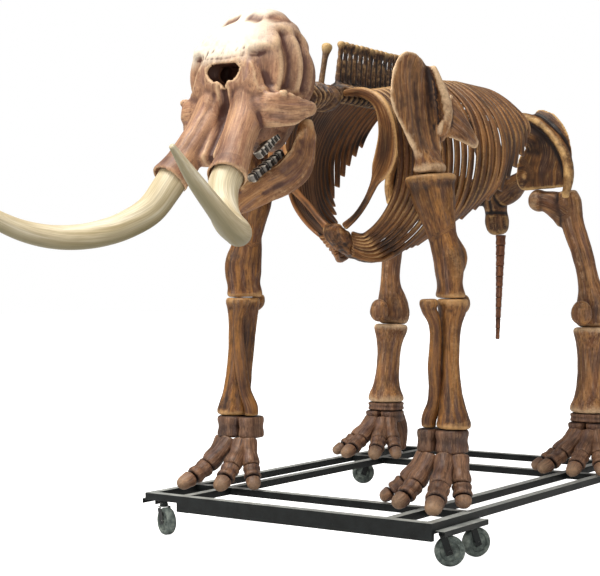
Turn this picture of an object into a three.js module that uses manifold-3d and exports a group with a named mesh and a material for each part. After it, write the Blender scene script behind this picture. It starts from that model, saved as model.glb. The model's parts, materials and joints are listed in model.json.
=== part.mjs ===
// A mounted mastodon skeleton, life size, standing on a black steel trolley.
// Millimetres, +Z up. The head looks along -Y and the animal's left side is +X.
// Bones are solids lofted through rings; what meets without a joint is fused in one solid.
import * as THREE from 'three';
import { mergeVertices } from 'three/addons/utils/BufferGeometryUtils.js';
import Module from 'manifold-3d';

const wasm = await Module();
wasm.setup();

// ---- Driving dimensions ------------------------------------------------------------------
const TROLLEY_LENGTH = 3000;
const TUSK_REACH = 1889.2;       // how far the tusk tips stand out ahead of the trolley
const FRONT_RAIL_Y = (TUSK_REACH - TROLLEY_LENGTH) / 2; // outer face of the front rail, from the middle
const TROLLEY_WIDTH = 2056;
const RAIL_WIDTH = 56;
const RAIL_HEIGHT = 45;
const DECK = 250;                // top of the rails, where the feet stand
const INNER_RAIL_X = 735;        // middle of the two rails under the feet
const CROSS_RAILS = [444, 2266]; // front faces of the two inner cross rails, from the front rail
const FRONT_PLATE_DEPTH = 55;     // lower half of the front rail, ahead of the castors
const FRONT_PLATE_START = -775;   // where it begins, past the right front castor
const CHANNEL_DEPTH = 32;        // outrigger channels that carry the castors, clear of the wheels
const CHANNEL_LENGTH = 500;
const CHANNEL_WIDTH = 110;
const CHANNEL_WALL = 6;

const WHEEL_RADIUS = 84;
const WHEEL_WIDTH = 56;
const WHEEL_SIDES = 10;
const AXLE_RADIUS = 9;
const CASTOR_TRAIL = 34;         // wheel axle behind the swivel axis
const CONTACT_GAP = 0.4;         // between the feet and the deck
const CLEARANCE = 1.5;           // round axles and stems, and round teeth and tusks in their sockets

const TUSK_ROOT_RADIUS = 88;
const MOLAR_HALF = 27;            // half height of a row of grinding teeth
const VERTEBRAE = 24;            // chest vertebrae, each with a pair of ribs
const VERTEBRA_PITCH = 57;
const CHEST_FRONT = 640;         // first chest vertebra, from the front rail
const RIB_WIDTH = 21.5;          // half width of the ribs of the front of the chest
const REAR_RIB_WIDTH = 25;       // and of the broad ones behind, from the sixteenth on

// ---- Materials -----------------------------------------------------------------------------
const finish = (color, roughness, metalness = 0) =>
  new THREE.MeshStandardMaterial({ color, roughness, metalness });
const bone = () => finish(0x8a5a35, 0.55);
const ivory = () => finish(0xd3c5a0, 0.45);
const enamel = () => finish(0x3f3b38, 0.4);
const blackSteel = () => finish(0x1b1f20, 0.4, 0.6);
const rubber = () => finish(0x565e5b, 0.85);

// ---- Solids ----------------------------------------------------------------------------------
function toSolid(geometry) {
  const bare = geometry.clone();
  bare.deleteAttribute('normal');
  bare.deleteAttribute('uv');
  const welded = mergeVertices(bare, 1e-3);
  return new wasm.Manifold(new wasm.Mesh({
    numProp: 3,
    vertProperties: Float32Array.from(welded.attributes.position.array),
    triVerts: Uint32Array.from(welded.index.array),
  }));
}

function toGeometry(solid) {
  const mesh = solid.getMesh();
  const geometry = new THREE.BufferGeometry();
  geometry.setAttribute('position', new THREE.BufferAttribute(mesh.vertProperties, 3));
  geometry.setIndex(new THREE.BufferAttribute(mesh.triVerts, 1));
  return geometry;
}

const fuse = (...geometries) =>
  toGeometry(geometries.map(toSolid).reduce((all, next) => all.add(next)));
const cut = (body, ...tools) =>
  toGeometry(tools.map(toSolid).reduce((left, tool) => left.subtract(tool), toSolid(body)));

// The same shape on the animal's other side.
function mirrored(geometry) {
  const copy = geometry.index ? geometry.clone() : mergeVertices(geometry);
  copy.applyMatrix4(new THREE.Matrix4().makeScale(-1, 1, 1));
  const order = copy.index.array;
  for (let i = 0; i < order.length; i += 3) [order[i], order[i + 1]] = [order[i + 1], order[i]];
  return copy;
}

const bothSides = (geometry) => [geometry, mirrored(geometry)];

// A closed tube through stations [x, y, z, half width, half depth]. The half width is measured
// along the across direction, and the half depth square to it and to the tube.
function loft(stations, { sides = 8, across = [1, 0, 0] } = {}) {
  const rings = stations.length - 1;
  const geometry = new THREE.CylinderGeometry(1, 1, 1, sides, rings);
  const places = stations.map(([x, y, z]) => new THREE.Vector3(x, y, z));
  const wide = new THREE.Vector3(...across);
  const frames = places.map((place, i) => {
    const along = places[Math.min(i + 1, rings)].clone().sub(places[Math.max(i - 1, 0)]).normalize();
    const width = wide.clone().addScaledVector(along, -wide.dot(along)).normalize();
    return { place, width, depth: along.clone().cross(width) };
  });
  const flat = 1 / Math.cos(Math.PI / sides);
  const position = geometry.attributes.position;
  for (let i = 0; i < position.count; i += 1) {
    const ring = Math.round((0.5 - position.getY(i)) * rings);
    const { place, width, depth } = frames[ring];
    const rim = Math.hypot(position.getX(i), position.getZ(i)) > 0.5 ? flat : 0;
    const angle = Math.atan2(position.getX(i), position.getZ(i)) + Math.PI / sides;
    const [halfWidth, halfDepth] = stations[ring].slice(3);
    const point = place.clone()
      .addScaledVector(width, rim * halfWidth * Math.sin(angle))
      .addScaledVector(depth, rim * halfDepth * Math.cos(angle));
    position.setXYZ(i, point.x, point.y, point.z);
  }
  return geometry;
}

function block(x, y, z, width, depth, height) {
  return new THREE.BoxGeometry(width, depth, height).translate(x, y, z);
}

function knob(x, y, z, radiusX, radiusY, radiusZ) {
  return new THREE.SphereGeometry(1, 8, 4).rotateX(Math.PI / 2)
    .scale(radiusX, radiusY, radiusZ).translate(x, y, z);
}

// ---- Head --------------------------------------------------------------------------------------
const TUSK_LINE = [
  [190, -650, 1935], [200, -745, 1822], [254, -818, 1705], [348, -898, 1628], [488, -1004, 1572],
  [612, -1156, 1558], [692, -1325, 1588], [755, -1510, 1665], [794, -1710, 1785], [808, -1880, 1925],
];

function tusk(swell = 0) {
  const last = TUSK_LINE.length - 1;
  return loft(TUSK_LINE.map(([x, y, z], i) => {
    const taper = i / last;
    const radius = i === last ? 14 : TUSK_ROOT_RADIUS * (1 - 0.32 * taper - 0.42 * taper ** 3);
    const deeper = i === 0 ? swell : 0;
    return [x, y + deeper, z + deeper, radius + swell, radius + swell];
  }));
}

function tuskSocket() {
  return loft([
    [84, -392, 2420, 62, 70], [112, -420, 2330, 88, 84], [126, -450, 2240, 104, 90],
    [156, -570, 2060, 96, 88], [184, -660, 1945, 108, 98], [202, -724, 1868, 114, 102],
  ]);
}

function cheekArch() {
  return loft([
    [225, -430, 2250, 100, 50], [290, -440, 2246, 102, 34], [366, -330, 2248, 84, 24],
    [384, -226, 2262, 40, 26], [372, -188, 2268, 40, 36], [366, -166, 2268, 26, 26],
  ], { sides: 5, across: [0, 0, 1] });
}

function skull() {
  const dome = loft([
    [0, -132, 2836, 122, 78], [0, -142, 2798, 198, 142], [0, -172, 2705, 280, 218],
    [0, -202, 2590, 340, 270], [0, -226, 2400, 346, 276], [0, -240, 2230, 256, 222],
    [0, -262, 2060, 165, 160],
  ], { sides: 10 });
  const condyle = loft([[0, -60, 2350, 150, 120], [0, 84, 2366, 96, 86]], { sides: 6 });
  const face = loft([
    [0, -310, 2700, 120, 30], [0, -388, 2590, 190, 58], [0, -414, 2510, 236, 74],
    [0, -416, 2430, 262, 78], [0, -388, 2270, 296, 92],
  ], { sides: 4 });
  const nasalWall = loft([[0, -330, 2310, 150, 90], [0, -600, 1960, 120, 50]], { sides: 4 });
  const solid = fuse(dome, condyle, face, nasalWall,
    ...[tuskSocket(), cheekArch()].flatMap(bothSides));
  // Nose opening: a heart between the brow and the roots of the sockets.
  const heart = new THREE.Shape();
  heart.moveTo(0, -80);
  heart.lineTo(46, -44);
  heart.lineTo(100, -34);
  heart.lineTo(112, 16);
  heart.lineTo(94, 54);
  heart.lineTo(-94, 54);
  heart.lineTo(-112, 16);
  heart.lineTo(-100, -34);
  heart.lineTo(-46, -44);
  const nose = new THREE.ExtrudeGeometry(heart, { depth: 300, bevelEnabled: false })
    .rotateX(Math.PI / 2).translate(0, -330, 2462);
  const temple = loft([
    [404, -200, 2310, 140, 44], [330, -190, 2690, 110, 30],
  ], { sides: 4, across: [0, 1, 0] });
  return cut(solid, nose, ...[temple, tusk(CLEARANCE), upperMolar(CLEARANCE)].flatMap(bothSides));
}

function jawbone() {
  const side = loft([
    [300, -132, 2222, 34, 30], [302, -128, 2190, 46, 40], [298, -130, 2100, 30, 92],
    [288, -160, 1985, 32, 118], [246, -235, 1895, 42, 102], [165, -335, 1825, 56, 82],
    [70, -420, 1758, 70, 72], [-10, -440, 1716, 50, 56],
  ], { sides: 5 });
  return cut(fuse(...bothSides(side)), ...bothSides(lowerMolar(CLEARANCE)));
}

// A grinding tooth: a long row of low cross ridges.
function molar(from, to, ridges, swell) {
  const stations = [];
  for (let i = 0; i <= ridges * 2; i += 1) {
    const t = i / (ridges * 2);
    const size = MOLAR_HALF * (i % 2 ? 1 : 0.78) + swell;
    stations.push([...from.map((start, axis) => start + (to[axis] - start) * t), size * 1.3, size]);
  }
  return loft(stations, { sides: 4 });
}

const upperMolar = (swell) => molar([134, -357, 2008], [176, -237, 2132], 3, swell);
const lowerMolar = (swell) => molar([136, -432, 1872], [188, -200, 2034], 4, swell);

// ---- Backbone and chest -----------------------------------------------------------------------
function neck() {
  const stations = [];
  for (let i = 0; i < 5; i += 1) {
    const y = 100 + i * 66;
    const z = 2372 + i * 12;
    const taper = 1 - 0.075 * i;
    stations.push([0, y, z, 120 * taper, 84], [0, y + 40, z + 8, 196 * taper, 122 * taper]);
  }
  stations.push([0, 434, 2430, 90, 76]);
  return loft(stations, { sides: 6 });
}

function lastNeckVertebra() {
  const body = loft([
    [0, 456, 2428, 86, 72], [0, 488, 2422, 108, 90], [0, 518, 2414, 106, 76],
    [0, 602, 2436, 62, 58],
  ], { sides: 6 });
  const spine = loft([
    [0, 468, 2490, 18, 16], [0, 522, 2696, 25, 23], [0, 528, 2722, 35, 29], [0, 534, 2754, 27, 23],
  ], { sides: 5 });
  return fuse(body, spine);
}

const blend = (knots, t) => {
  const last = knots.length - 1;
  const i = Math.max(0, Math.min(last - 1, knots.findIndex((knot) => knot[0] >= t) - 1));
  const f = (t - knots[i][0]) / (knots[i + 1][0] - knots[i][0]);
  return knots[i].slice(1).map((value, c) => value + (knots[i + 1][c + 1] - value) * f);
};

// By vertebra: half width of the chest, height of the rib's crown, height of its widest part,
// and how far out the crown lies, as a share of the half width.
const CHEST_SHAPE = [
  [0, 402, 2446, 2215, 0.6], [5, 466, 2504, 2195, 0.48], [9, 536, 2556, 2190, 0.42],
  [13, 632, 2590, 2200, 0.36], [17, 684, 2604, 2215, 0.34], [23, 652, 2600, 2310, 0.33],
];
// By vertebra: where the rib ends. The first thirteen bend in towards the breastbone.
const RIB_ENDS = [
  [0, 188, 640, 1620], [1, 188, 692, 1606], [4, 186, 800, 1560], [8, 172, 1000, 1488],
  [12, 250, 1150, 1535], [15, 478, 1315, 1700], [18, 650, 1530, 1880], [21, 682, 1775, 2120],
  [23, 655, 1900, 2262],
];
const SPINE_SHAPE = [[0, 2790, 46], [14, 2782, 52], [17, 2690, 44], [23, 2606, 26]];

function rib(index) {
  const [half, crown, middle, reach] = blend(CHEST_SHAPE, index);
  const [endX, endY, endZ] = blend(RIB_ENDS, index);
  const root = CHEST_FRONT + index * VERTEBRA_PITCH;
  const width = index < 15 ? RIB_WIDTH : REAR_RIB_WIDTH;
  const sweep = (part) => root + (endY - root) * part;
  return loft([
    [50, root, 2462, width * 0.7, 10], [half * reach, sweep(0.06), crown, width, 10],
    [half * (reach + (1 - reach) * 0.72), sweep(0.27), crown * 0.54 + middle * 0.46, width, 10],
    [half, sweep(0.55), middle - (middle - endZ) * 0.1, width, 10],
    [half - (half - endX) * 0.24, sweep(0.8), middle - (middle - endZ) * 0.7, width * 0.9, 10],
    [endX, endY, endZ, width * (index < 13 ? 0.72 : 0.9), 8],
  ].filter((station, i) => i !== 4 || index < 18), { sides: 4, across: [0, 1, 0] });
}

// The first rib is a flat blade that faces forwards, then a narrow bar to the breastbone.
function firstRib() {
  return loft([
    [50, 640, 2462, 12, 18], [200, 618, 2452, 13, 32], [345, 578, 2372, 13, 46],
    [408, 562, 2200, 13, 62], [384, 566, 2010, 13, 74], [322, 574, 1920, 13, 34],
    [210, 620, 1782, 13, 20], [96, 620, 1672, 12, 18],
  ], { sides: 4, across: [0, 1, 0] });
}

function chestVertebra(index) {
  const y = CHEST_FRONT + index * VERTEBRA_PITCH;
  const [tip, lean] = blend(SPINE_SHAPE, index);
  const spine = loft([
    [0, y, 2470, 18, 24], [0, y + lean, tip, 21, 18],
  ], { sides: 4, across: [0, 1, 0] });
  return [spine, ...bothSides(index === 0 ? firstRib() : rib(index))];
}

// Two neighbouring vertebrae and their ribs, grown together at the disc.
function chestPair(first) {
  const y = CHEST_FRONT + first * VERTEBRA_PITCH;
  const body = block(0, y + VERTEBRA_PITCH / 2 + 1, 2458, 124, VERTEBRA_PITCH + 56, 112);
  return fuse(body, ...chestVertebra(first), ...chestVertebra(first + 1));
}

function breastbone() {
  return loft([
    [0, 566, 1640, 60, 36], [0, 604, 1596, 120, 56], [0, 690, 1548, 146, 56], [0, 810, 1494, 164, 44],
    [0, 920, 1462, 164, 32], [0, 1040, 1446, 140, 24], [0, 1120, 1448, 96, 18],
  ], { sides: 6 });
}

function loins() {
  const stations = [];
  const wings = [];
  for (let i = 0; i < 4; i += 1) {
    const y = 1994 + i * 76;
    const z = 2452 - i * 12;
    stations.push([0, y, z, 54, 48], [0, y + 38, z - 3, 72, 66]);
    wings.push(loft([[0, y + 40, z + 28, 22, 20], [0, y + 60, z + 130 - i * 6, 18, 12]],
      { sides: 4, across: [0, 1, 0] }));
  }
  const crossBar = block(0, 2108, 2440, 300, 200, 16);
  return fuse(loft(stations, { sides: 5 }), crossBar, ...wings);
}

function tail() {
  const stations = [];
  const joints = 10;
  for (let i = 0; i < joints; i += 1) {
    const thick = 38 - 27 * (i / (joints - 1)) ** 0.8;
    const top = 1618 - i * 75;
    const y = 2786 - i * 6;
    stations.push([0, y, top, thick, thick * 0.9], [0, y - 4, top - 58, thick * 0.66, thick * 0.62]);
  }
  return loft(stations, { sides: 5 });
}

// ---- Hips -----------------------------------------------------------------------------------------
function pelvis() {
  const sacrum = loft([
    [0, 2310, 2405, 80, 70], [0, 2560, 2290, 104, 84], [0, 2660, 2090, 100, 84],
    [0, 2684, 1920, 106, 94], [0, 2712, 1800, 84, 80], [0, 2726, 1730, 92, 86],
    [0, 2742, 1636, 72, 70],
  ], { sides: 6 });
  const wing = loft([
    [512, 2448, 1962, 112, 30], [504, 2450, 2056, 210, 28], [536, 2448, 2200, 170, 20],
    [494, 2448, 2330, 140, 20], [380, 2456, 2410, 110, 20],
  ], { sides: 4 });
  const crest = loft([
    [40, 2470, 2390, 40, 40], [220, 2462, 2446, 40, 34], [430, 2446, 2426, 46, 34],
    [600, 2430, 2300, 50, 36], [700, 2412, 2140, 50, 36], [724, 2396, 2000, 44, 34],
    [704, 2380, 1864, 26, 24],
  ], { sides: 5, across: [0, 1, 0] });
  const neckBar = loft([
    [430, 2470, 2032, 80, 84], [300, 2540, 2012, 70, 70], [140, 2640, 1945, 96, 84],
    [50, 2665, 1915, 90, 80],
  ], { sides: 5, across: [0, 0, 1] });
  return fuse(sacrum, ...[wing, crest, neckBar].flatMap(bothSides));
}

// ---- Legs, built for the left side ------------------------------------------------------------------
function shoulderBlade() {
  const blade = loft([
    [655, 640, 1942, 106, 82], [652, 640, 1978, 122, 86], [638, 642, 2070, 112, 48],
    [622, 634, 2160, 180, 36], [606, 614, 2380, 348, 28], [606, 604, 2500, 296, 30],
    [614, 648, 2596, 118, 18],
  ], { sides: 6, across: [0, 1, 0] });
  const ridge = loft([
    [636, 705, 2570, 16, 24], [672, 765, 2320, 28, 56], [650, 780, 2090, 20, 20],
  ], { sides: 4, across: [0, 1, 0] });
  const lobe = loft([
    [668, 770, 2310, 146, 24], [714, 940, 2215, 84, 22], [728, 1080, 2134, 32, 20],
  ], { sides: 4, across: [0, 0, 1] });
  return fuse(blade, ridge, lobe);
}

function upperArm() {
  return loft([
    [658, 640, 1926, 104, 92], [660, 640, 1896, 158, 130], [668, 642, 1836, 152, 122],
    [700, 655, 1680, 106, 96], [732, 668, 1500, 98, 86], [764, 674, 1430, 108, 92],
    [762, 676, 1350, 92, 86], [762, 680, 1284, 80, 78], [762, 686, 1238, 94, 86],
    [762, 686, 1212, 84, 78],
  ]);
}

function radius() {
  return loft([
    [694, 550, 1196, 48, 42], [694, 550, 1172, 58, 48], [694, 554, 1100, 38, 34],
    [680, 562, 800, 33, 31], [660, 592, 590, 35, 36], [644, 604, 490, 43, 44],
    [644, 604, 452, 38, 40],
  ], { sides: 6 });
}

function ulna() {
  const shaft = loft([
    [778, 682, 1198, 88, 82], [778, 682, 1160, 104, 92], [768, 670, 1070, 78, 80],
    [768, 652, 900, 58, 72], [782, 642, 720, 58, 72], [808, 634, 500, 108, 100],
    [810, 634, 450, 98, 90],
  ]);
  const elbow = loft([
    [776, 740, 1130, 56, 44], [762, 838, 1190, 44, 40], [758, 850, 1224, 26, 24],
  ], { sides: 5 });
  return fuse(shaft, elbow);
}

// A toe: hand bone, two finger bones and the hoof bone, necked at each joint.
function toe(root, tip, girth) {
  const along = [0, 0.42, 0.54, 0.76, 1];
  const thick = [0.95, 1.06, 0.86, 1, 0.6];
  const flatness = 0.9;
  const resting = (half) => half * flatness + CONTACT_GAP;
  const tipHeight = resting(girth * thick[4]);
  return loft(along.map((t, i) => {
    const half = girth * thick[i];
    const fall = (1 - t) ** 1.2 * (1 - 0.15 * t);
    return [root[0] + (tip[0] - root[0]) * t ** 1.15, root[1] + (tip[1] - root[1]) * t ** 1.15,
      Math.max(tipHeight + (root[2] - tipHeight) * fall, resting(half)), half, half * flatness];
  }), { sides: 5, across: [tip[1] - root[1], root[0] - tip[0], 0] });
}

function foreFoot() {
  const wrist = loft([
    [708, 620, 440, 100, 86], [708, 614, 340, 94, 80], [708, 602, 262, 104, 84],
  ], { sides: 6 });
  const outerWrist = loft([[856, 620, 438, 58, 80], [852, 600, 262, 60, 76]], { sides: 5 });
  return fuse(wrist, outerWrist,
    toe([650, 570, 300], [422, 440], 58), toe([700, 560, 290], [640, 250], 66),
    toe([795, 560, 290], [936, 160], 68), toe([872, 590, 300], [984, 440], 62));
}

function thighBone() {
  const shaft = loft([
    [676, 2490, 1888, 56, 54], [678, 2490, 1850, 80, 70], [706, 2492, 1710, 74, 68],
    [770, 2508, 1490, 68, 66], [808, 2546, 1260, 74, 74], [816, 2588, 1120, 122, 104],
    [814, 2592, 1030, 126, 106], [814, 2588, 978, 102, 84],
  ]);
  const head = loft([
    [408, 2490, 1856, 40, 42], [446, 2490, 1856, 68, 74], [520, 2490, 1850, 66, 72],
    [580, 2490, 1828, 52, 54], [680, 2490, 1790, 76, 62],
  ], { sides: 6, across: [0, 0, 1] });
  return fuse(shaft, head);
}

const kneecap = () => knob(816, 2396, 1078, 76, 56, 88);

function shinBone() {
  return loft([
    [818, 2566, 968, 96, 90], [818, 2562, 940, 130, 120], [818, 2550, 876, 118, 104],
    [820, 2520, 640, 88, 82], [826, 2502, 420, 142, 122], [826, 2502, 396, 128, 106],
  ]);
}

function hindFoot() {
  const ankle = loft([
    [826, 2502, 388, 132, 110], [826, 2502, 330, 124, 106], [828, 2474, 240, 134, 112],
  ], { sides: 6 });
  const heel = loft([
    [828, 2560, 330, 84, 60], [828, 2680, 170, 76, 66], [828, 2690, 3.6, 52, 50],
  ], { sides: 5 });
  return fuse(ankle, heel,
    toe([752, 2430, 270], [540, 2190], 56), toe([796, 2410, 262], [660, 2060], 64),
    toe([866, 2410, 262], [900, 2030], 64), toe([908, 2430, 270], [1070, 2150], 58));
}

// ---- Trolley ------------------------------------------------------------------------------------
const OUTRIGGER_X = TROLLEY_WIDTH / 2 + 4;
const CHANNEL_TOP = DECK - RAIL_HEIGHT;
const CHANNEL_STARTS = [40, TROLLEY_LENGTH - CHANNEL_LENGTH - 40];

function trolley() {
  const half = TROLLEY_WIDTH / 2;
  const middleZ = DECK - RAIL_HEIGHT / 2;
  const sheet = block(0, TROLLEY_LENGTH / 2, middleZ, TROLLEY_WIDTH, TROLLEY_LENGTH, RAIL_HEIGHT);
  // The bays between the rails: three lanes across in each of three rows.
  const outer = half - RAIL_WIDTH;
  const [innerLow, innerHigh] = [INNER_RAIL_X - RAIL_WIDTH / 2, INNER_RAIL_X + RAIL_WIDTH / 2];
  const lanes = [[-outer, -innerHigh], [-innerLow, innerLow], [innerHigh, outer]];
  const faces = [0, ...CROSS_RAILS, TROLLEY_LENGTH - RAIL_WIDTH];
  const bays = [0, 1, 2].flatMap((row) => lanes.map(([left, right]) => {
    const [front, back] = [faces[row] + RAIL_WIDTH, faces[row + 1]];
    return block((left + right) / 2, (front + back) / 2, middleZ,
      right - left, back - front, RAIL_HEIGHT * 2);
  }));
  const plate = block((half + FRONT_PLATE_START) / 2, RAIL_WIDTH / 4, CHANNEL_TOP - FRONT_PLATE_DEPTH / 2,
    half - FRONT_PLATE_START, RAIL_WIDTH / 2, FRONT_PLATE_DEPTH);
  const wide = CHANNEL_WIDTH / 2;
  const thin = CHANNEL_WALL;
  const section = new THREE.Shape([
    new THREE.Vector2(-wide, -CHANNEL_DEPTH), new THREE.Vector2(thin - wide, -CHANNEL_DEPTH),
    new THREE.Vector2(thin - wide, -thin), new THREE.Vector2(wide - thin, -thin),
    new THREE.Vector2(wide - thin, -CHANNEL_DEPTH), new THREE.Vector2(wide, -CHANNEL_DEPTH),
    new THREE.Vector2(wide, 0), new THREE.Vector2(-wide, 0),
  ]);
  const channels = [-OUTRIGGER_X, OUTRIGGER_X].flatMap((x) => CHANNEL_STARTS.map((front) =>
    new THREE.ExtrudeGeometry(section, { depth: CHANNEL_LENGTH, bevelEnabled: false })
      .rotateX(Math.PI / 2).translate(x, front + CHANNEL_LENGTH, CHANNEL_TOP)));
  return fuse(cut(sheet, ...bays), plate, ...channels);
}

// Castors: [name, how far to the left, distance from the front rail, heading in degrees]. Four sit in
// the outrigger channels, and the right front one under the front rail.
const UNDER_FRONT_RAIL = -900;
const CASTORS = [
  ['front_left_castor', OUTRIGGER_X, 120, -56], ['second_left_castor', OUTRIGGER_X, 430, -30],
  ['rear_left_castor', OUTRIGGER_X, 2560, -20], ['front_right_castor', UNDER_FRONT_RAIL, 30, -111],
  ['rear_right_castor', -OUTRIGGER_X, 2560, 124],
];

function castorFork(ceiling) {
  const armX = WHEEL_WIDTH / 2 + CLEARANCE + 4;
  const crownZ = WHEEL_RADIUS * 2 + 11;
  // Seen from the side the fork leans back to its axle; seen from the front it is an arch.
  const lean = new THREE.Shape([
    new THREE.Vector2(-28, crownZ + 2), new THREE.Vector2(CASTOR_TRAIL - 18, WHEEL_RADIUS - 16),
    new THREE.Vector2(CASTOR_TRAIL + 18, WHEEL_RADIUS - 16), new THREE.Vector2(28, crownZ + 2),
  ]);
  const side = new THREE.ExtrudeGeometry(lean, { depth: armX * 2 + 6, bevelEnabled: false })
    .rotateX(Math.PI / 2).rotateZ(Math.PI / 2).translate(-armX - 3, 0, 0);
  const gap = block(0, 0, crownZ / 2 - 4, armX * 2 - 6, 400, crownZ);
  const stemTop = ceiling - CLEARANCE;
  const stem = new THREE.CylinderGeometry(26, 26, stemTop - crownZ, 6).rotateX(Math.PI / 2)
    .translate(0, 0, (stemTop + crownZ) / 2);
  const axle = new THREE.CylinderGeometry(AXLE_RADIUS, AXLE_RADIUS, armX * 2 + 12, 6)
    .rotateZ(Math.PI / 2).translate(0, CASTOR_TRAIL, WHEEL_RADIUS);
  return fuse(cut(side, gap), stem, axle);
}

function castorWheel() {
  const half = WHEEL_WIDTH / 2;
  const bore = AXLE_RADIUS + CLEARANCE;
  const outer = WHEEL_RADIUS / Math.cos(Math.PI / WHEEL_SIDES);
  const profile = [
    [bore, -half], [outer, -half], [outer, half], [bore, half], [bore, -half],
  ].map(([r, along]) => new THREE.Vector2(r, along));
  return new THREE.LatheGeometry(profile, WHEEL_SIDES, Math.PI / WHEEL_SIDES)
    .rotateZ(Math.PI / 2).translate(0, CASTOR_TRAIL, WHEEL_RADIUS);
}

// ---- Assembly -------------------------------------------------------------------------------------
const model = new THREE.Group();
const floor = new THREE.Group();
floor.position.y = FRONT_RAIL_Y;
const deck = new THREE.Group();
deck.position.set(0, FRONT_RAIL_Y, DECK);
model.add(floor, deck);

function put(parent, name, geometry, material) {
  const mesh = new THREE.Mesh(geometry, material);
  mesh.name = name;
  parent.add(mesh);
}

function putPair(name, geometry, makeMaterial) {
  put(deck, `${name}_left`, geometry, makeMaterial());
  put(deck, `${name}_right`, mirrored(geometry), makeMaterial());
}

put(deck, 'skull', skull(), bone());
put(deck, 'jawbone', jawbone(), bone());
putPair('tusk', tusk(), ivory);
putPair('upper_molar', upperMolar(0), enamel);
putPair('lower_molar', lowerMolar(0), enamel);
put(deck, 'neck_vertebrae', neck(), bone());
put(deck, 'last_neck_vertebra', lastNeckVertebra(), bone());
for (let pair = 0; pair < VERTEBRAE / 2; pair += 1) {
  const label = String(pair + 1).padStart(2, '0');
  put(deck, `chest_ribs_${label}`, chestPair(pair * 2), bone());
}
put(deck, 'breastbone', breastbone(), bone());
put(deck, 'loin_vertebrae', loins(), bone());
put(deck, 'pelvis', pelvis(), bone());
put(deck, 'tail', tail(), bone());
putPair('shoulder_blade', shoulderBlade(), bone);
putPair('humerus', upperArm(), bone);
putPair('radius', radius(), bone);
putPair('ulna', ulna(), bone);
putPair('fore_foot', foreFoot(), bone);
putPair('femur', thighBone(), bone);
putPair('kneecap', kneecap(), bone);
putPair('tibia', shinBone(), bone);
putPair('hind_foot', hindFoot(), bone);
put(floor, 'trolley_frame', trolley(), blackSteel());

for (const [name, x, y, heading] of CASTORS) {
  const castor = new THREE.Group();
  castor.position.set(x, y, 0);
  castor.rotation.z = THREE.MathUtils.degToRad(heading);
  floor.add(castor);
  const ceiling = x === UNDER_FRONT_RAIL ? CHANNEL_TOP : CHANNEL_TOP - CHANNEL_WALL;
  put(castor, `${name}_fork`, castorFork(ceiling), blackSteel());
  put(castor, `${name}_wheel`, castorWheel(), rubber());
}

export default model;
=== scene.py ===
# %% [markdown]
# # A mounted mastodon skeleton on its trolley
# The real object is a life size cast: painted bones hung on hidden steel, standing on a black
# welded trolley. The imported CAD model gives every bone's place and main shape. Here each bone is
# made again with a fine surface, and gets the stain, wear and grain of an old fossil, with painted
# shade in its hollows and some painted light on the skull and the far ribs.

# %% Load the frame
import json
import math

import bmesh
import bpy
import numpy as np
from mathutils import Matrix, Vector

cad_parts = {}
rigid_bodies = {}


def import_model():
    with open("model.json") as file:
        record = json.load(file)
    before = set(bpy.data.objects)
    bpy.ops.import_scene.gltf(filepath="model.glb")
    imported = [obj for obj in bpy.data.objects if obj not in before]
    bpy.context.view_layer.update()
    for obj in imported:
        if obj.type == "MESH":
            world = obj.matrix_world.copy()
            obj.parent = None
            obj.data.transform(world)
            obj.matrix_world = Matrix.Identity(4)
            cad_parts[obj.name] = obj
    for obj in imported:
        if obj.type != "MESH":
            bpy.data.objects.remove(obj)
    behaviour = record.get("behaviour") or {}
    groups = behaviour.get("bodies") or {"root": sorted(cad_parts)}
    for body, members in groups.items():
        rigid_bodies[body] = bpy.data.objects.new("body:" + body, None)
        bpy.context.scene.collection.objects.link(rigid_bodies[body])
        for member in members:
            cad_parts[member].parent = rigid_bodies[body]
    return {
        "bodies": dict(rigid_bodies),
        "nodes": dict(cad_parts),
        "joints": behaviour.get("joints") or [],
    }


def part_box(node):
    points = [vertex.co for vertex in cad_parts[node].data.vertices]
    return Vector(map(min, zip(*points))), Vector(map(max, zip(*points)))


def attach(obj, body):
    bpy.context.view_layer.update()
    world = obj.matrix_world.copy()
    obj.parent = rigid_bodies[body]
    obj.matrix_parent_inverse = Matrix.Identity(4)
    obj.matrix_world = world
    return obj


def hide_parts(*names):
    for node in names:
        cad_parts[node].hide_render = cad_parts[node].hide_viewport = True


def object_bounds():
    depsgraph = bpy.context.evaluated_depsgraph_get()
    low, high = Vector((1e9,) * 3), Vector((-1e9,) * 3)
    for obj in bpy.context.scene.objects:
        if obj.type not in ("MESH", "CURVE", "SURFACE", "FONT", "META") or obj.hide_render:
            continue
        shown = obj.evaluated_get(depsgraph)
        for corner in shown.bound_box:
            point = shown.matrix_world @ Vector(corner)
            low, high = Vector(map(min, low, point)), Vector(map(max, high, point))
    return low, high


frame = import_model()
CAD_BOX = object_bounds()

# %% [markdown]
# ## One ruler for all bones
# A bone could be placed in metres from the world's origin, but a fitter measures from the
# trolley: so many millimetres left of the middle, behind the front rail and above the deck.
# The rail and the deck are read from the frame, so all bones follow if the trolley moves.

# %% Measure the trolley
MM = 0.001
rail_low, rail_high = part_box("trolley_frame")
FRONT = rail_low.y
DECK = rail_high.z


def spot(x, y, z):
    """A place x left of the middle, y behind the front rail and z above the deck, in mm."""
    return Vector((x * MM, FRONT + y * MM, DECK + z * MM))


print(f"deck at {DECK:.3f} m, front rail at {FRONT:.3f} m")

# %% [markdown]
# ## A smooth curve through a few measured stations
# A long bone is known by a few stations: a place, a half width and a half depth. Straight
# pieces between them would show corners, so a Hermite curve runs through all of them, and
# its two ends are rounded like the end of a real bone.


# %% Curve through stations
THINNEST = 1.5
CLOSEST = 0.4
ROUNDING_MARKS = np.array([0, 0.05, 0.2, 0.45, 1.0])


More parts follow.
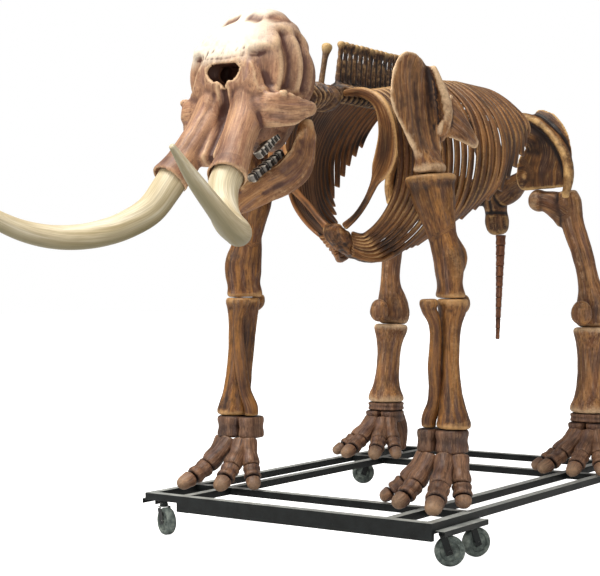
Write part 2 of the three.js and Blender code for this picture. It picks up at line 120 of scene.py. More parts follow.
def flowing(stations, step, fillet):
    """Close rows along one smooth curve through the stations, with both ends rounded."""
    knots = np.array(stations, float)
    gaps = np.linalg.norm(np.diff(knots[:, :3], axis=0), axis=1)
    at = np.concatenate([[0.0], np.cumsum(gaps)])
    slope = np.gradient(knots, at, axis=0)
    total = at[-1]
    ends = [min(fillet * knots[i, 3:].min(), 0.45 * total) for i in (0, -1)]
    count = max(3, int(total / step))
    places = np.unique(np.round(np.concatenate([
        np.linspace(0, total, count), ROUNDING_MARKS * ends[0],
        total - ROUNDING_MARKS * ends[1]]), 2))
    places = places[np.concatenate([[True], np.diff(places) > CLOSEST])]
    places[-1] = total
    i = np.clip(np.searchsorted(at, places, side="right") - 1, 0, len(gaps) - 1)
    h = gaps[i][:, None]
    t = ((places - at[i]) / gaps[i])[:, None]
    rows = ((2 * t**3 - 3 * t**2 + 1) * knots[i] + (t**3 - 2 * t**2 + t) * h * slope[i]
            + (3 * t**2 - 2 * t**3) * knots[i + 1] + (t**3 - t**2) * h * slope[i + 1])
    for radius, left in ((ends[0], places), (ends[1], total - places)):
        short = np.clip(radius - left, 0, radius)
        rows[:, 3:] -= (radius - np.sqrt(radius**2 - short**2))[:, None]
    rows[:, 3:] = np.maximum(rows[:, 3:], THINNEST)
    return rows, places


# %% [markdown]
# ## A bone in the making
# A bone could be sculpted by hand, or cut out of a block. Lofted tubes come closest to how it
# grows: a shaft, a head and a ridge, each drawn out ring by ring, that merge where they meet.
# The circle is extruded from one section to the next, and each ring is turned, widened and
# moved by a single matrix. A voxel remesh then fuses the tubes into one skin.


# %% Bone class
def mesh_from(bm, name):
    """Turns what was built into a mesh."""
    mesh = bpy.data.meshes.new(name)
    bm.to_mesh(mesh)
    bm.free()
    return mesh


def in_scene(name, data):
    """A new object at the origin."""
    made = bpy.data.objects.new(name, data)
    bpy.context.scene.collection.objects.link(made)
    return made


def edges_of(verts):
    """The edges that meet at these points, each once and always in the same order."""
    return list(dict.fromkeys(e for v in verts for e in v.link_edges))


class Bone:
    """The mesh of one bone, and the lines that its tubes follow."""

    def __init__(self, name):
        self.name = name
        self.bm = bmesh.new()
        self.lines = []

    def tube(self, stations, across=(1, 0, 0), sides=20, step=16, fillet=0.6, square=2.0,
             both=False):
        """Draws a tube through stations (x, y, z, half width, half depth) in mm."""
        rows, places = flowing(stations, step, fillet)
        along = np.gradient(rows[:, :3], places, axis=0)
        along /= np.linalg.norm(along, axis=1)[:, None]
        wide = np.array(across, float) - along * (along @ np.array(across, float))[:, None]
        wide /= np.linalg.norm(wide, axis=1)[:, None]
        deep = np.cross(along, wide)
        ring = bmesh.ops.create_circle(self.bm, cap_ends=False, radius=1, segments=sides)["verts"]
        for v in ring:
            v.co /= (abs(v.co.x) ** square + abs(v.co.y) ** square) ** (1 / square)
        edges = edges_of(ring)
        bmesh.ops.contextual_create(self.bm, geom=edges)
        placed = Matrix.Identity(4)
        for i, row in enumerate(rows):
            turn = Matrix((Vector(wide[i]) * row[3] * MM, Vector(deep[i]) * row[4] * MM,
                           Vector(along[i]))).transposed().to_4x4()
            turn.translation = spot(*row[:3])
            if i:
                new = bmesh.ops.extrude_edge_only(self.bm, edges=edges)["geom"]
                ring = [g for g in new if isinstance(g, bmesh.types.BMVert)]
                edges = [g for g in new if isinstance(g, bmesh.types.BMEdge)]
            bmesh.ops.transform(self.bm, matrix=turn @ placed.inverted(), verts=ring)
            placed = turn
        bmesh.ops.contextual_create(self.bm, geom=edges)
        centres = np.array([spot(*row[:3]) for row in rows])
        self.lines.append((centres, wide, deep, places * MM, rows[:, 3:].mean(axis=1) * MM))
        if both:
            other = [[-s[0], *s[1:]] for s in stations]
            self.tube(other, (-across[0], *across[1:]), sides, step, fillet, square)

    def knob(self, place, radii, both=False):
        """Adds a rounded lump."""
        form = Matrix.LocRotScale(spot(*place), None, Vector(radii) * MM)
        bmesh.ops.create_icosphere(self.bm, subdivisions=3, radius=1, matrix=form)
        if both:
            self.knob((-place[0], *place[1:]), radii)

    def plate(self, outline, depth):
        """Adds a flat plate: its outline in mm, drawn out by a vector."""
        rim = [self.bm.verts.new(spot(*p)) for p in outline]
        face = self.bm.faces.new(rim)
        far = bmesh.ops.extrude_face_region(self.bm, geom=[face], use_keep_orig=True)["geom"]
        bmesh.ops.translate(self.bm, vec=Vector(depth) * MM,
                            verts=[g for g in far if isinstance(g, bmesh.types.BMVert)])

    def piece(self):
        """The bare mesh as an object, with its faces turned outwards."""
        bmesh.ops.recalc_face_normals(self.bm, faces=self.bm.faces)
        return in_scene(self.name, mesh_from(self.bm, self.name))


# %% [markdown]
# ## Fusing tubes into one skin
# A union of many curved tubes by exact cuts is slow and fragile. A voxel remesh only asks
# which side of the surface a point lies on, so any number of tubes may overlap. Hollows that
# go deep, such as the nose, are cut between two remeshes.


# %% Fuse a bone
def fused(bone, voxel, relax=3, cutter=None, lumps=0.0, lump_size=0.06):
    """Gives the bone as one closed skin of even quads."""
    made = bone.piece()

    def remesh(label):
        net = made.modifiers.new(label, "REMESH")
        net.mode, net.voxel_size = "VOXEL", voxel * MM

    remesh("voxels")
    tool = None
    if cutter:
        tool = cutter.piece()
        cut = made.modifiers.new("cut", "BOOLEAN")
        cut.operation, cut.object, cut.solver = "DIFFERENCE", tool, "EXACT"
        cut.use_self = True
        remesh("voxels_again")
    soft = made.modifiers.new("relax", "SMOOTH")
    soft.factor, soft.iterations = 0.5, relax
    if lumps:
        clouds = bpy.data.textures.new(bone.name + "_lumps", "CLOUDS")
        clouds.noise_scale, clouds.noise_depth = lump_size, 2
        bumps = made.modifiers.new("lumps", "DISPLACE")
        bumps.texture, bumps.strength, bumps.mid_level = clouds, lumps * MM, 0.5
    graph = bpy.context.evaluated_depsgraph_get()
    skin = bpy.data.meshes.new_from_object(made.evaluated_get(graph))
    made.modifiers.clear()
    made.data = skin
    if tool:
        bpy.data.objects.remove(tool)
    return made


# %% [markdown]
# ## Reading the surface
# Paint gathers in hollows and wears off ridges, and shade falls in hollows, so the dark given to
# hollows is partly stain and partly painted shade. To know which is which, each point is compared
# with the average of its neighbours: a point below that average lies in a hollow. Stain also runs
# along a bone, so each point stores where it lies along and across its own tube. Both go into the
# mesh as attributes, because they follow the surface in every view.


# %% Points, neighbours and attributes
def points_of(piece):
    co = np.empty(len(piece.data.vertices) * 3, np.float32)
    piece.data.vertices.foreach_get("co", co)
    return co.reshape(-1, 3).astype(float)


def normals_of(piece):
    normal = np.empty(len(piece.data.vertices) * 3, np.float32)
    piece.data.vertices.foreach_get("normal", normal)
    return normal.reshape(-1, 3).astype(float)


def move_points(piece, co):
    piece.data.vertices.foreach_set("co", co.astype(np.float32).ravel())
    piece.data.update()


def relaxed(piece, values, rounds):
    """The values, such as places, averaged with their neighbours many times over."""
    ends = np.empty(len(piece.data.edges) * 2, np.int32)
    piece.data.edges.foreach_get("vertices", ends)
    a, b = ends.reshape(-1, 2).T
    size = len(values)
    count = (np.bincount(a, minlength=size) + np.bincount(b, minlength=size))[:, None]
    out = values.copy()
    for _ in range(rounds):
        mean = np.stack([np.bincount(a, out[b, c], size) + np.bincount(b, out[a, c], size)
                         for c in range(values.shape[1])], axis=1) / count
        out = 0.5 * out + 0.5 * mean
    return out


def kept(piece, name):
    """The numbers stored under that name, or nought everywhere."""
    layer = piece.data.attributes.get(name)
    values = np.zeros(len(piece.data.vertices), np.float32)
    if layer:
        layer.data.foreach_get("value", values)
    return values.astype(float)


def keep(piece, name, values):
    """Stores a number or a vector for every point, or one number for all of them."""
    kind, field = ("FLOAT", "value") if np.ndim(values) < 2 else ("FLOAT_VECTOR", "vector")
    layer = piece.data.attributes.get(name) or piece.data.attributes.new(name, kind, "POINT")
    if np.ndim(values) == 0:
        values = np.full(len(piece.data.vertices), values)
    layer.data.foreach_set(field, values.astype(np.float32).ravel())


def heights(piece):
    """How far each point lies above the deck, in mm."""
    return (points_of(piece)[:, 2] - DECK) / MM


FINE_RELIEF, BROAD_RELIEF = 2.5 * MM, 12 * MM
LINE_SHIFT, SEED_SHIFT = 7, 1.37  # keep the stains of two tubes or bones from matching
CHUNK = 4000


def read_surface(piece, bone, seed=0, near=6, far=36):
    """Stores hollow (above 0 in hollows, below 0 on ridges) and grain (across, deep, along)."""
    co, normal = points_of(piece), normals_of(piece)
    small = ((relaxed(piece, co, near) - co) * normal).sum(axis=1) / FINE_RELIEF
    large = ((relaxed(piece, co, far) - co) * normal).sum(axis=1) / BROAD_RELIEF
    small, large = small - np.median(small), large - np.median(large)
    # The hollow value darkens recesses in the shader: partly stain, partly painted shade, with the
    # stain_and_shade value added.
    keep(piece, "hollow", np.clip(small, -1, 1) * 0.6 + np.clip(large, -1, 1) * 0.6
         + kept(piece, "stain_and_shade"))
    centre, wide, deep, along, girth = (np.concatenate(rows) for rows in zip(*bone.lines))
    lengths = [len(line[3]) for line in bone.lines]
    along += np.repeat(np.arange(len(bone.lines)), lengths) * LINE_SHIFT
    grain = np.empty_like(co)
    for start in range(0, len(co), CHUNK):
        part = co[start:start + CHUNK]
        gap = np.linalg.norm(part[:, None] - centre[None], axis=2) - 0.7 * girth[None]
        best = gap.argmin(axis=1)
        out = part - centre[best]
        grain[start:start + CHUNK] = np.stack([
            (out * wide[best]).sum(axis=1), (out * deep[best]).sum(axis=1), along[best]], axis=1)
    keep(piece, "grain", relaxed(piece, grain, 2) + seed * SEED_SHIFT)


# %% [markdown]
# ## Carving lines
# Sutures, joint lines and flutes are worked into the finished skin. A line is given as seen
# from the front or the side, and only the points that face that way move. A soft profile
# keeps the groove from tearing the mesh.


# %% Engrave a line
def engrave(piece, line, width, depth, view="y", facing=(0, -1, 0), both=True, stain_and_shade=0.0):
    """Sinks a groove of that half width and depth in mm, or raises a ridge if depth is below 0.

    The stain_and_shade value, from -1 to 1, darkens or clears the line when the surface is read. In
    a groove the darkening is partly stain and partly painted shade, where shade falls in the
    groove; on a raised line it clears the colour paler. It stays weak, because the groove's own
    hollow adds to it.
    """
    co, normal = points_of(piece), normals_of(piece)
    axes = {"x": [1, 2], "y": [0, 2], "z": [0, 1], "": [0, 1, 2]}[view]
    knots = np.array([spot(*p) for p in line])
    move = np.zeros(len(co))
    for side in ((1, -1) if both else (1,)):
        flip = np.array([side, 1, 1])
        away = np.full(len(co), 1e9)
        for start, end in zip(knots * flip, (knots * flip)[1:]):
            run = (end - start)[axes]
            share = np.clip(((co[:, axes] - start[axes]) @ run) / max(run @ run, 1e-12), 0, 1)
            off = co[:, axes] - start[axes] - share[:, None] * run
            away = np.minimum(away, np.linalg.norm(off, axis=1))
        fall = np.clip(1 - away / (width * MM), 0, 1)
        fall = fall * fall * (3 - 2 * fall)
        fall *= np.clip(normal @ (np.array(facing, float) * flip) * 2.5, 0, 1)
        move = np.maximum(move, fall)
    move_points(piece, co - normal * (move * depth * MM)[:, None])
    # Painted shade: the stored value darkens the groove as shade would, together with real stain.
    if stain_and_shade:
        keep(piece, "stain_and_shade", kept(piece, "stain_and_shade") + move * stain_and_shade * 0.5)


def engrave_all(piece, lines, **how):
    """Engraves rows of points, half width, depth and stain, one after the other."""
    for points, width, depth, stain_and_shade in lines:
        engrave(piece, points, width, depth, stain_and_shade=stain_and_shade, **how)


FROM_SIDE = dict(view="x", facing=(1, 0, 0))
FROM_OUTER_FRONT = dict(view="", facing=(0.5, -0.8, 0))


# %% [markdown]
# ## Finishing a piece
# Every bone ends in the same way: smooth shading, a material, the CAD node that it stands for
# and the body that it rides on. The printed figure is how far it leaves its CAD box.


# %% Dress a piece
def rest_on_trolley(piece, material, cad_node, body="trolley"):
    piece.data.materials.clear()
    piece.data.materials.append(material)
    piece.data.polygons.foreach_set("use_smooth", [True] * len(piece.data.polygons))
    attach(piece, body)
    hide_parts(cad_node)
    low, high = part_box(cad_node)
    co = points_of(piece)
    over = max(max(low[i] - co[:, i].min(), co[:, i].max() - high[i]) for i in range(3))
    faces = len(piece.data.loops) - 2 * len(piece.data.polygons)
    print(f"{piece.name}: {faces} triangles, {over / MM:.0f} mm outside its CAD box")


def other_side(piece, name):
    """The same piece for the animal's right side."""
    twin = in_scene(name, piece.data.copy())
    bm = bmesh.new()
    bm.from_mesh(twin.data)
    bmesh.ops.scale(bm, vec=(-1, 1, 1), verts=bm.verts)
    bmesh.ops.reverse_faces(bm, faces=bm.faces)
    bm.to_mesh(twin.data)
    bm.free()
    return twin


def pair(piece, material, node):
    """Finishes a left bone and its mirror image."""
    twin = other_side(piece, piece.name.replace("left", "right"))
    rest_on_trolley(piece, material, f"{node}_left")
    rest_on_trolley(twin, material, f"{node}_right")


# %% [markdown]
# ## The finish of an old fossil cast
# The cast was painted golden brown, wiped with a dark stain that stayed in the hollows, and rubbed
# back on the ridges. One node group makes that from the grain and the hollows: long streaks along
# the bone, cloudy patches, dark recesses and pale worn edges. The dark recesses are partly that
# stain and partly painted shade, where shade falls in them. The group gives only a colour, a height
# and a roughness, so each bone's own shader stays in its material.


# %% Colour helper and the fossil group
def tint(red, green, blue):
    """A colour as a painter mixes it, 0 to 255, in the renderer's linear light."""
    def line(c):
        c /= 255
        return c / 12.92 if c <= 0.04045 else ((c + 0.055) / 1.055) ** 2.4
    return (line(red), line(green), line(blue), 1)


def node(tree, kind, **settings):
    made = tree.nodes.new(kind)
    for key, value in settings.items():
        setattr(made, key, value)
    return made


def ramp(tree, source, *stops):
    made = node(tree, "ShaderNodeValToRGB")
    while len(made.color_ramp.elements) < len(stops):
        made.color_ramp.elements.new(0.5)
    for element, (place, colour) in zip(made.color_ramp.elements, stops):
        element.position, element.color = place, colour
    tree.links.new(source, made.inputs[0])
    return made.outputs[0]


def feed(tree, socket, value):
    """Links another node's output to a socket, or sets the socket to a plain value."""
    if isinstance(value, bpy.types.NodeSocket):
        tree.links.new(value, socket)
    else:
        socket.default_value = value


def mixed(tree, factor, a, b, blend="MIX"):
    made = node(tree, "ShaderNodeMix", data_type="RGBA", blend_type=blend)
    for index, value in ((0, factor), (6, a), (7, b)):
        feed(tree, made.inputs[index], value)
    return made.outputs[2]


def sum_of(tree, operation, a, b, clamp=False):
    made = node(tree, "ShaderNodeMath", operation=operation, use_clamp=clamp)
    for socket, value in zip(made.inputs, (a, b)):
        feed(tree, socket, value)
    return made.outputs[0]


def speckle(tree, vector, scale, detail=4.0, rough=0.6):
    made = node(tree, "ShaderNodeTexNoise")
    made.inputs["Scale"].default_value = scale
    made.inputs["Detail"].default_value = detail
    made.inputs["Roughness"].default_value = rough
    tree.links.new(vector, made.inputs["Vector"])
    return made.outputs["Fac"]


def stretched(tree, vector, scale):
    made = node(tree, "ShaderNodeMapping")
    made.inputs["Scale"].default_value = scale
    tree.links.new(vector, made.inputs["Vector"])
    return made.outputs[0]


GREY = lambda v: (v, v, v, 1)
group = bpy.data.node_groups.new("fossil_stain_and_shade", "ShaderNodeTree")
for name, kind in (("Place", "NodeSocketVector"), ("Grain", "NodeSocketVector"),
                   ("Hollow", "NodeSocketFloat"), ("Bleach", "NodeSocketFloat"),
                   ("Dark", "NodeSocketColor"), ("Brown", "NodeSocketColor"),
                   ("Gold", "NodeSocketColor"), ("Pale", "NodeSocketColor"),
                   ("Mauve", "NodeSocketColor"), ("Bleached", "NodeSocketColor")):
    group.interface.new_socket(name, in_out="INPUT", socket_type=kind)
for name, kind in (("Colour", "NodeSocketColor"), ("Height", "NodeSocketFloat"),
                   ("Roughness", "NodeSocketFloat")):
    group.interface.new_socket(name, in_out="OUTPUT", socket_type=kind)
inside = group.nodes.new("NodeGroupInput").outputs
outside = group.nodes.new("NodeGroupOutput").inputs
streaks = speckle(group, stretched(group, inside["Grain"], (30, 30, 2.2)), 1.0, 5, 0.62)
second = speckle(group, stretched(group, inside["Grain"], (22, 22, 1.7)), 1.3, 4, 0.6)
fibres = speckle(group, stretched(group, inside["Grain"], (120, 120, 7)), 1.0, 3, 0.6)
clouds = speckle(group, inside["Place"], 4.2, 4, 0.6)
grit = speckle(group, inside["Place"], 75, 4, 0.65)

# The paint: brown and gold in streaks, then mauve streaks, dark clouds and dark fibres.
base = ramp(group, streaks, (0.40, GREY(0)), (0.62, GREY(1)))
colour = mixed(group, base, inside["Brown"], inside["Gold"])
colour = mixed(group, ramp(group, second, (0.52, GREY(0)), (0.66, GREY(0.75))), colour,
               inside["Mauve"])
colour = mixed(group, ramp(group, clouds, (0.44, GREY(0)), (0.68, GREY(0.6))), colour,
               inside["Dark"])
colour = mixed(group, ramp(group, fibres, (0.34, GREY(0.6)), (0.47, GREY(0))), colour,
               inside["Dark"])
colour = mixed(group, ramp(group, fibres, (0.56, GREY(0)), (0.74, GREY(0.4))), colour,
               inside["Pale"])

# The wear on ridges, the bleached places, which on the skull and the far ribs are partly painted
# light, and the dark in the hollows, which is partly stain and partly painted shade.
worn = sum_of(group, "MULTIPLY", inside["Hollow"], -1.7)
worn = sum_of(group, "ADD", worn, sum_of(group, "SUBTRACT", grit, 0.72))
colour = mixed(group, sum_of(group, "MULTIPLY", worn, 0.75, True), colour, inside["Pale"])
colour = mixed(group, inside["Bleach"], colour, inside["Bleached"])
# Painted shade: hollows darken towards the Dark colour, mixed with real stain in cloudy patches.
hollow_stain_and_shade = sum_of(group, "MULTIPLY", inside["Hollow"], 1.7)
hollow_stain_and_shade = sum_of(group, "ADD", hollow_stain_and_shade, sum_of(group, "SUBTRACT", clouds, 0.58))
colour = mixed(group, sum_of(group, "MULTIPLY", hollow_stain_and_shade, 0.9, True), colour,
               inside["Dark"])
colour = mixed(group, 0.4, colour, ramp(group, grit, (0.3, GREY(0.5)), (0.7, GREY(1))),
               "MULTIPLY")
group.links.new(colour, outside["Colour"])
height = sum_of(group, "ADD", sum_of(group, "MULTIPLY", fibres, 0.6),
                sum_of(group, "MULTIPLY", grit, 0.5))
group.links.new(sum_of(group, "ADD", height, sum_of(group, "MULTIPLY", streaks, 0.8)),
                outside["Height"])
group.links.new(ramp(group, streaks, (0.3, GREY(0.56)), (0.7, GREY(0.36))),
                outside["Roughness"])
print("fossil_stain_and_shade group:", len(group.nodes), "nodes")


# %% [markdown]
# ## Bone materials
# All bones share the stain and the painted shade in their hollows, but not their colours: the skull
# is bleached and pink, the ribs are darker, the feet greyer. So each kind has a material of its
# own, with five colours, and a sixth where some places are bleached, which on the skull is partly,
# and on the far ribs wholly, painted light.


# %% Bone materials
def new_material(name, roughness=0.5, specular=0.5):
    made = bpy.data.materials.new(name)
    made.use_nodes = True
    shader = made.node_tree.nodes["Principled BSDF"]
    shader.inputs["Roughness"].default_value = roughness
    shader.inputs["Specular IOR Level"].default_value = specular
    return made, made.node_tree, shader


def attribute(tree, name, output):
    return node(tree, "ShaderNodeAttribute", attribute_name=name).outputs[output]


def own_place(tree):
    return node(tree, "ShaderNodeTexCoord").outputs["Object"]


def bumped(tree, shader, height, strength, depth):
    """Lets a height raise and sink the surface, by up to that depth in metres."""
    bump = node(tree, "ShaderNodeBump")
    bump.inputs["Strength"].default_value = strength
    bump.inputs["Distance"].default_value = depth
    tree.links.new(height, bump.inputs["Height"])
    tree.links.new(bump.outputs[0], shader.inputs["Normal"])


def fossil(name, dark, brown, gold, pale, mauve, bleached=None):
    made, tree, shader = new_material(name, specular=0.32)
    stain_and_shade = node(tree, "ShaderNodeGroup", node_tree=group)
    for key, value in (("Place", own_place(tree)), ("Grain", attribute(tree, "grain", "Vector")),
                       ("Hollow", attribute(tree, "hollow", "Fac")), ("Dark", tint(*dark)),
                       ("Brown", tint(*brown)), ("Gold", tint(*gold)), ("Pale", tint(*pale)),
                       ("Mauve", tint(*mauve)), ("Bleached", tint(*(bleached or pale)))):
        feed(tree, stain_and_shade.inputs[key], value)
    if bleached:
        feed(tree, stain_and_shade.inputs["Bleach"], attribute(tree, "bleach", "Fac"))
    tree.links.new(stain_and_shade.outputs["Colour"], shader.inputs["Base Color"])
    tree.links.new(stain_and_shade.outputs["Roughness"], shader.inputs["Roughness"])
    bumped(tree, shader, stain_and_shade.outputs["Height"], 0.45, 0.004)
    return made


# The sixth colour, for bleached places, is partly painted light on the skull and painted light on
# the far ribs.
SKULL = fossil("skull_finish", (92, 60, 50), (170, 124, 94), (200, 156, 118), (218, 182, 144),
               (150, 114, 106), (244, 234, 214))
JAW = fossil("jaw_finish", (84, 54, 44), (134, 90, 58), (182, 132, 84), (214, 178, 134),
             (118, 88, 82))
RIBS = fossil("rib_finish", (32, 18, 11), (98, 60, 32), (156, 104, 56), (212, 168, 112),
              (94, 68, 56), (186, 126, 78))
SPINES = fossil("spine_finish", (28, 20, 18), (76, 52, 40), (116, 82, 50), (176, 140, 96),
                (88, 72, 70), (218, 184, 126))
ARMS = fossil("arm_finish", (34, 21, 17), (104, 65, 38), (162, 110, 54), (198, 154, 102),
              (106, 78, 66))
LEGS = fossil("leg_finish", (46, 29, 24), (128, 84, 54), (184, 132, 80), (230, 196, 156),
              (124, 94, 82))
HIPS = fossil("hip_finish", (28, 16, 12), (78, 48, 30), (142, 96, 52), (220, 178, 118),
              (72, 52, 46))
FEET = fossil("foot_finish", (34, 22, 20), (104, 74, 58), (150, 110, 82), (204, 170, 138),
              (108, 84, 80), (204, 170, 136))
TAIL = fossil("tail_finish", (56, 30, 20), (124, 76, 50), (170, 110, 70), (210, 164, 120),
              (108, 74, 64))

# %% [markdown]
# ## The skull
# A high dome with a flat crown, a broad face plate, two tusk sockets that run down its front, a
# heart shaped nose opening, cheek arches, and upright flutes at the temples. It is fused from
# tubes, the deep openings are cut with plates and tubes of the same kind, and the flutes,
# ridges and sutures are engraved afterwards.

# %% Tusk line and skull
TUSK_LINE = [
    (190, -650, 1935), (200, -745, 1822), (254, -818, 1705), (348, -898, 1628),
    (488, -1004, 1572), (612, -1156, 1558), (692, -1325, 1588), (755, -1510, 1665),
    (794, -1710, 1785), (808, -1880, 1925),
]
TUSK_ROOT = 88


def tusk_stations(swell=0):
    last = len(TUSK_LINE) - 1
    rows = []
    for i, (x, y, z) in enumerate(TUSK_LINE):
        t = i / last
        girth = (14 if i == last else TUSK_ROOT * (1 - 0.32 * t - 0.42 * t**3)) + swell
        lift = swell if i == 0 else 0
        rows.append((x, y + lift, z + lift, girth, girth))
    return rows


def molar_stations(start, end, ridges, swell):
    rows = []
    for i in range(ridges * 2 + 1):
        t = i / (ridges * 2)
        size = 27 * (1 if i % 2 else 0.78) + swell
        rows.append((*[a + (b - a) * t for a, b in zip(start, end)], size * 1.3, size))
    return rows


UPPER_MOLAR = ((134, -357, 2008), (176, -237, 2132), 3)
LOWER_MOLAR = ((136, -432, 1872), (188, -200, 2034), 4)

skull = Bone("skull_bone")
skull.tube([(0, -132, 2846, 132, 84), (0, -140, 2800, 196, 142), (0, -160, 2705, 264, 204),
            (0, -196, 2590, 336, 262), (0, -226, 2400, 350, 280), (0, -240, 2230, 260, 226),
            (0, -262, 2060, 168, 162)], sides=44, fillet=0.3, square=2.5)
skull.tube([(0, -60, 2350, 150, 120), (0, 84, 2366, 96, 86)], sides=24)
skull.tube([(0, -330, 2690, 108, 40), (0, -386, 2590, 176, 60), (0, -413, 2510, 228, 76),
            (0, -416, 2430, 264, 80), (0, -388, 2270, 290, 90)], sides=32, square=3.6)
skull.tube([(0, -330, 2310, 150, 90), (0, -600, 1960, 118, 50)], square=3)
skull.tube([(84, -392, 2420, 60, 68), (112, -420, 2330, 88, 84), (126, -450, 2240, 104, 90),
            (156, -570, 2060, 95, 88), (176, -632, 1974, 100, 92), (190, -684, 1912, 106, 97),
            (202, -724, 1868, 120, 106)], sides=32, fillet=0.16, both=True)
skull.tube([(130, -400, 2262, 96, 60), (225, -430, 2252, 100, 52), (290, -440, 2246, 100, 40),
            (366, -336, 2248, 82, 28), (386, -232, 2262, 46, 28), (376, -192, 2268, 44, 38),
            (366, -166, 2268, 32, 32)], across=(0, 0, 1), both=True)
skull.knob((206, -436, 2258), (74, 56, 98), both=True)
skull.knob((262, -398, 2290), (70, 50, 74), both=True)
for y, z in ((-410, 2330), (-350, 2322), (-292, 2306), (-238, 2296)):
    skull.knob((346 + (y + 410) * 0.14, y, z), (30, 30, 24), both=True)
hollows = Bone("skull_hollows")
hollows.plate([(x, -316, z + 2462) for x, z in (
    (0, -84), (18, -62), (44, -44), (76, -40), (100, -24), (116, 2), (115, 26), (104, 46),
    (84, 56), (-84, 56), (-104, 46), (-115, 26), (-116, 2), (-100, -24), (-76, -40),
    (-44, -44), (-18, -62))], (0, -400, 0))
hollows.tube(tusk_stations(2), fillet=0.05, both=True)
hollows.tube([(196, -700, 1884, 98, 94), (206, -752, 1836, 106, 100)], fillet=0.05, both=True)
hollows.tube(molar_stations(*UPPER_MOLAR, 3), both=True)
skull_piece = fused(skull, 7.6, relax=6, cutter=hollows, lumps=7, lump_size=0.11)
print("skull:", len(skull_piece.data.vertices), "points")

# %% [markdown]
# Three flutes stand side by side in each temple, under a raised line that runs from the brow to
# the back of the head. A suture crosses the forehead above the nose, a groove parts the two
# sockets, and the crown has two shallow dips.

# %% Carve the skull
FLUTES = [([(0, -446, 2570), (0, -436, 2390)], 58, 30, 0.3),
          ([(0, -310, 2680), (0, -330, 2385)], 62, 32, 0.3),
          ([(0, -160, 2660), (0, -196, 2385)], 60, 28, 0.3),
          ([(0, -378, 2640), (0, -384, 2370)], 34, -7, -0.12),
          ([(0, -236, 2700), (0, -262, 2380)], 34, -7, -0.12)]
BROW = [([(0, -505, 2513), (0, -478, 2576), (0, -400, 2612), (0, -358, 2640), (0, -310, 2716),
          (0, -235, 2722), (0, -150, 2706), (0, -60, 2640)], 46, -12, -0.16),
        ([(0, -505, 2513), (0, -490, 2420), (0, -470, 2370), (0, -400, 2360)], 34, -8, -0.16)]
CHEEK = [([(0, -470, 2210), (0, -380, 2190), (0, -280, 2220)], 40, 10, 0.1)]
engrave_all(skull_piece, FLUTES + BROW + CHEEK, **FROM_SIDE)
engrave(skull_piece, [(-250, 0, 2560), (-120, 0, 2554), (0, 0, 2544), (120, 0, 2552),
                      (206, 0, 2552)], 11, 2, facing=(0, -0.8, 0.6), both=False,
        stain_and_shade=0.14)
engrave_all(skull_piece, [([(0, 0, 2385), (0, 0, 1960)], 42, 34, 0.35),
                          ([(64, 0, 2350), (92, 0, 2180), (130, 0, 2000)], 30, 5, 0.12),
                          ([(232, 0, 2420), (236, 0, 2260), (226, 0, 2180)], 60, 3, 0.04)])
engrave_all(skull_piece, [([(54, 0, 2800), (118, 0, 2786)], 50, 16, 0.44),
                          ([(170, 0, 2796), (214, 0, 2780)], 44, 12, 0.44)],
            facing=(0, -0.7, 0.7))

# %% [markdown]
# The crown and brow of the cast are almost white, so a bleach value is stored: it grows with
# height. It is also painted light: it grows where the bone faces up or forward, towards the lamps,
# and fades towards the left side of the brow.
# The nose opening, the roots of the teeth and the mouths of the sockets get painted shade: boxes
# listed one by one darken them, as shade falls in these openings.

# %% Bleach and finish the skull
co, normal = points_of(skull_piece), normals_of(skull_piece)
x, y, z = (co - np.array(spot(0, 0, 0))).T / MM
# Painted shade in the nose opening, by the roots of the teeth and in the mouths of the sockets.
in_nose = (abs(x) < 124) & (z > 2360) & (z < 2530) & (y > -472) & (y < -250)
by_teeth = (abs(x) < 215) & (z > 1980) & (z < 2190) & (y > -430) & (y < -200)
in_socket = (np.hypot(abs(x) - 203, z - 1872) < 130) & (normal[:, 1] < -0.2) & (y < -690)
keep(skull_piece, "stain_and_shade", kept(skull_piece, "stain_and_shade") + 1.2 * in_nose + 0.4 * by_teeth
     + 0.3 * in_socket)
read_surface(skull_piece, skull)
rise = np.clip((z - 2505) / 90, 0, 1)
# Painted light: the bleach is stronger where the bone faces up or forward.
lit_facing = 0.62 + 0.45 * normal[:, 2] - 0.42 * normal[:, 1] - 1.1 * np.clip(abs(normal[:, 0])
                                                                         - 0.55, 0, 1)
faded = np.clip(1.1 - x / 280, 0.08, 1) * np.clip(1.1 - 5 * kept(skull_piece, "stain_and_shade"), 0, 1)
keep(skull_piece, "bleach", relaxed(skull_piece, np.clip(
    rise * lit_facing * faded, 0, 0.93)[:, None], 6)[:, 0])
rest_on_trolley(skull_piece, SKULL, "skull")

# %% [markdown]
# ## The lower jaw
# Two broad upright branches with a knuckle on top curve forward into a pointed chin. The jaw
# could be half a ring with branches added, but one long tube a side follows the bend without
# a seam. A thin tube beside it makes the ridge along the teeth, and the slots for the lower
# teeth are cut between the two remeshes.

# %% Jawbone
jaw = Bone("jawbone_bone")
jaw.tube([(300, -132, 2222, 34, 30), (302, -128, 2190, 46, 40), (298, -130, 2100, 30, 92),
          (288, -160, 1985, 32, 118), (246, -235, 1895, 42, 102), (165, -335, 1825, 56, 82),
          (70, -420, 1758, 70, 72), (-10, -440, 1716, 50, 56)], sides=24, both=True)
slots = Bone("jaw_slots")
slots.tube(molar_stations(*LOWER_MOLAR, 2), both=True)
jaw.tube([(100, -470, 1812, 20, 22), (128, -420, 1842, 24, 26), (196, -300, 1932, 20, 24),
          (236, -190, 2032, 18, 22), (262, -150, 2110, 16, 18)], both=True)
jaw_piece = fused(jaw, 8.5, cutter=slots, lumps=7)
engrave_all(jaw_piece, [
    ([(0, -190, 2080), (0, -230, 1990), (0, -300, 1930)], 60, 9, 0.12),
    ([(0, -60, 2160), (0, -90, 2010), (0, -190, 1870), (0, -330, 1770)], 44, -7, -0.16),
    ([(0, -380, 1800), (0, -300, 1850)], 26, 5, 0.12)], **FROM_SIDE)
read_surface(jaw_piece, jaw, 1)
rest_on_trolley(jaw_piece, JAW, "jawbone")
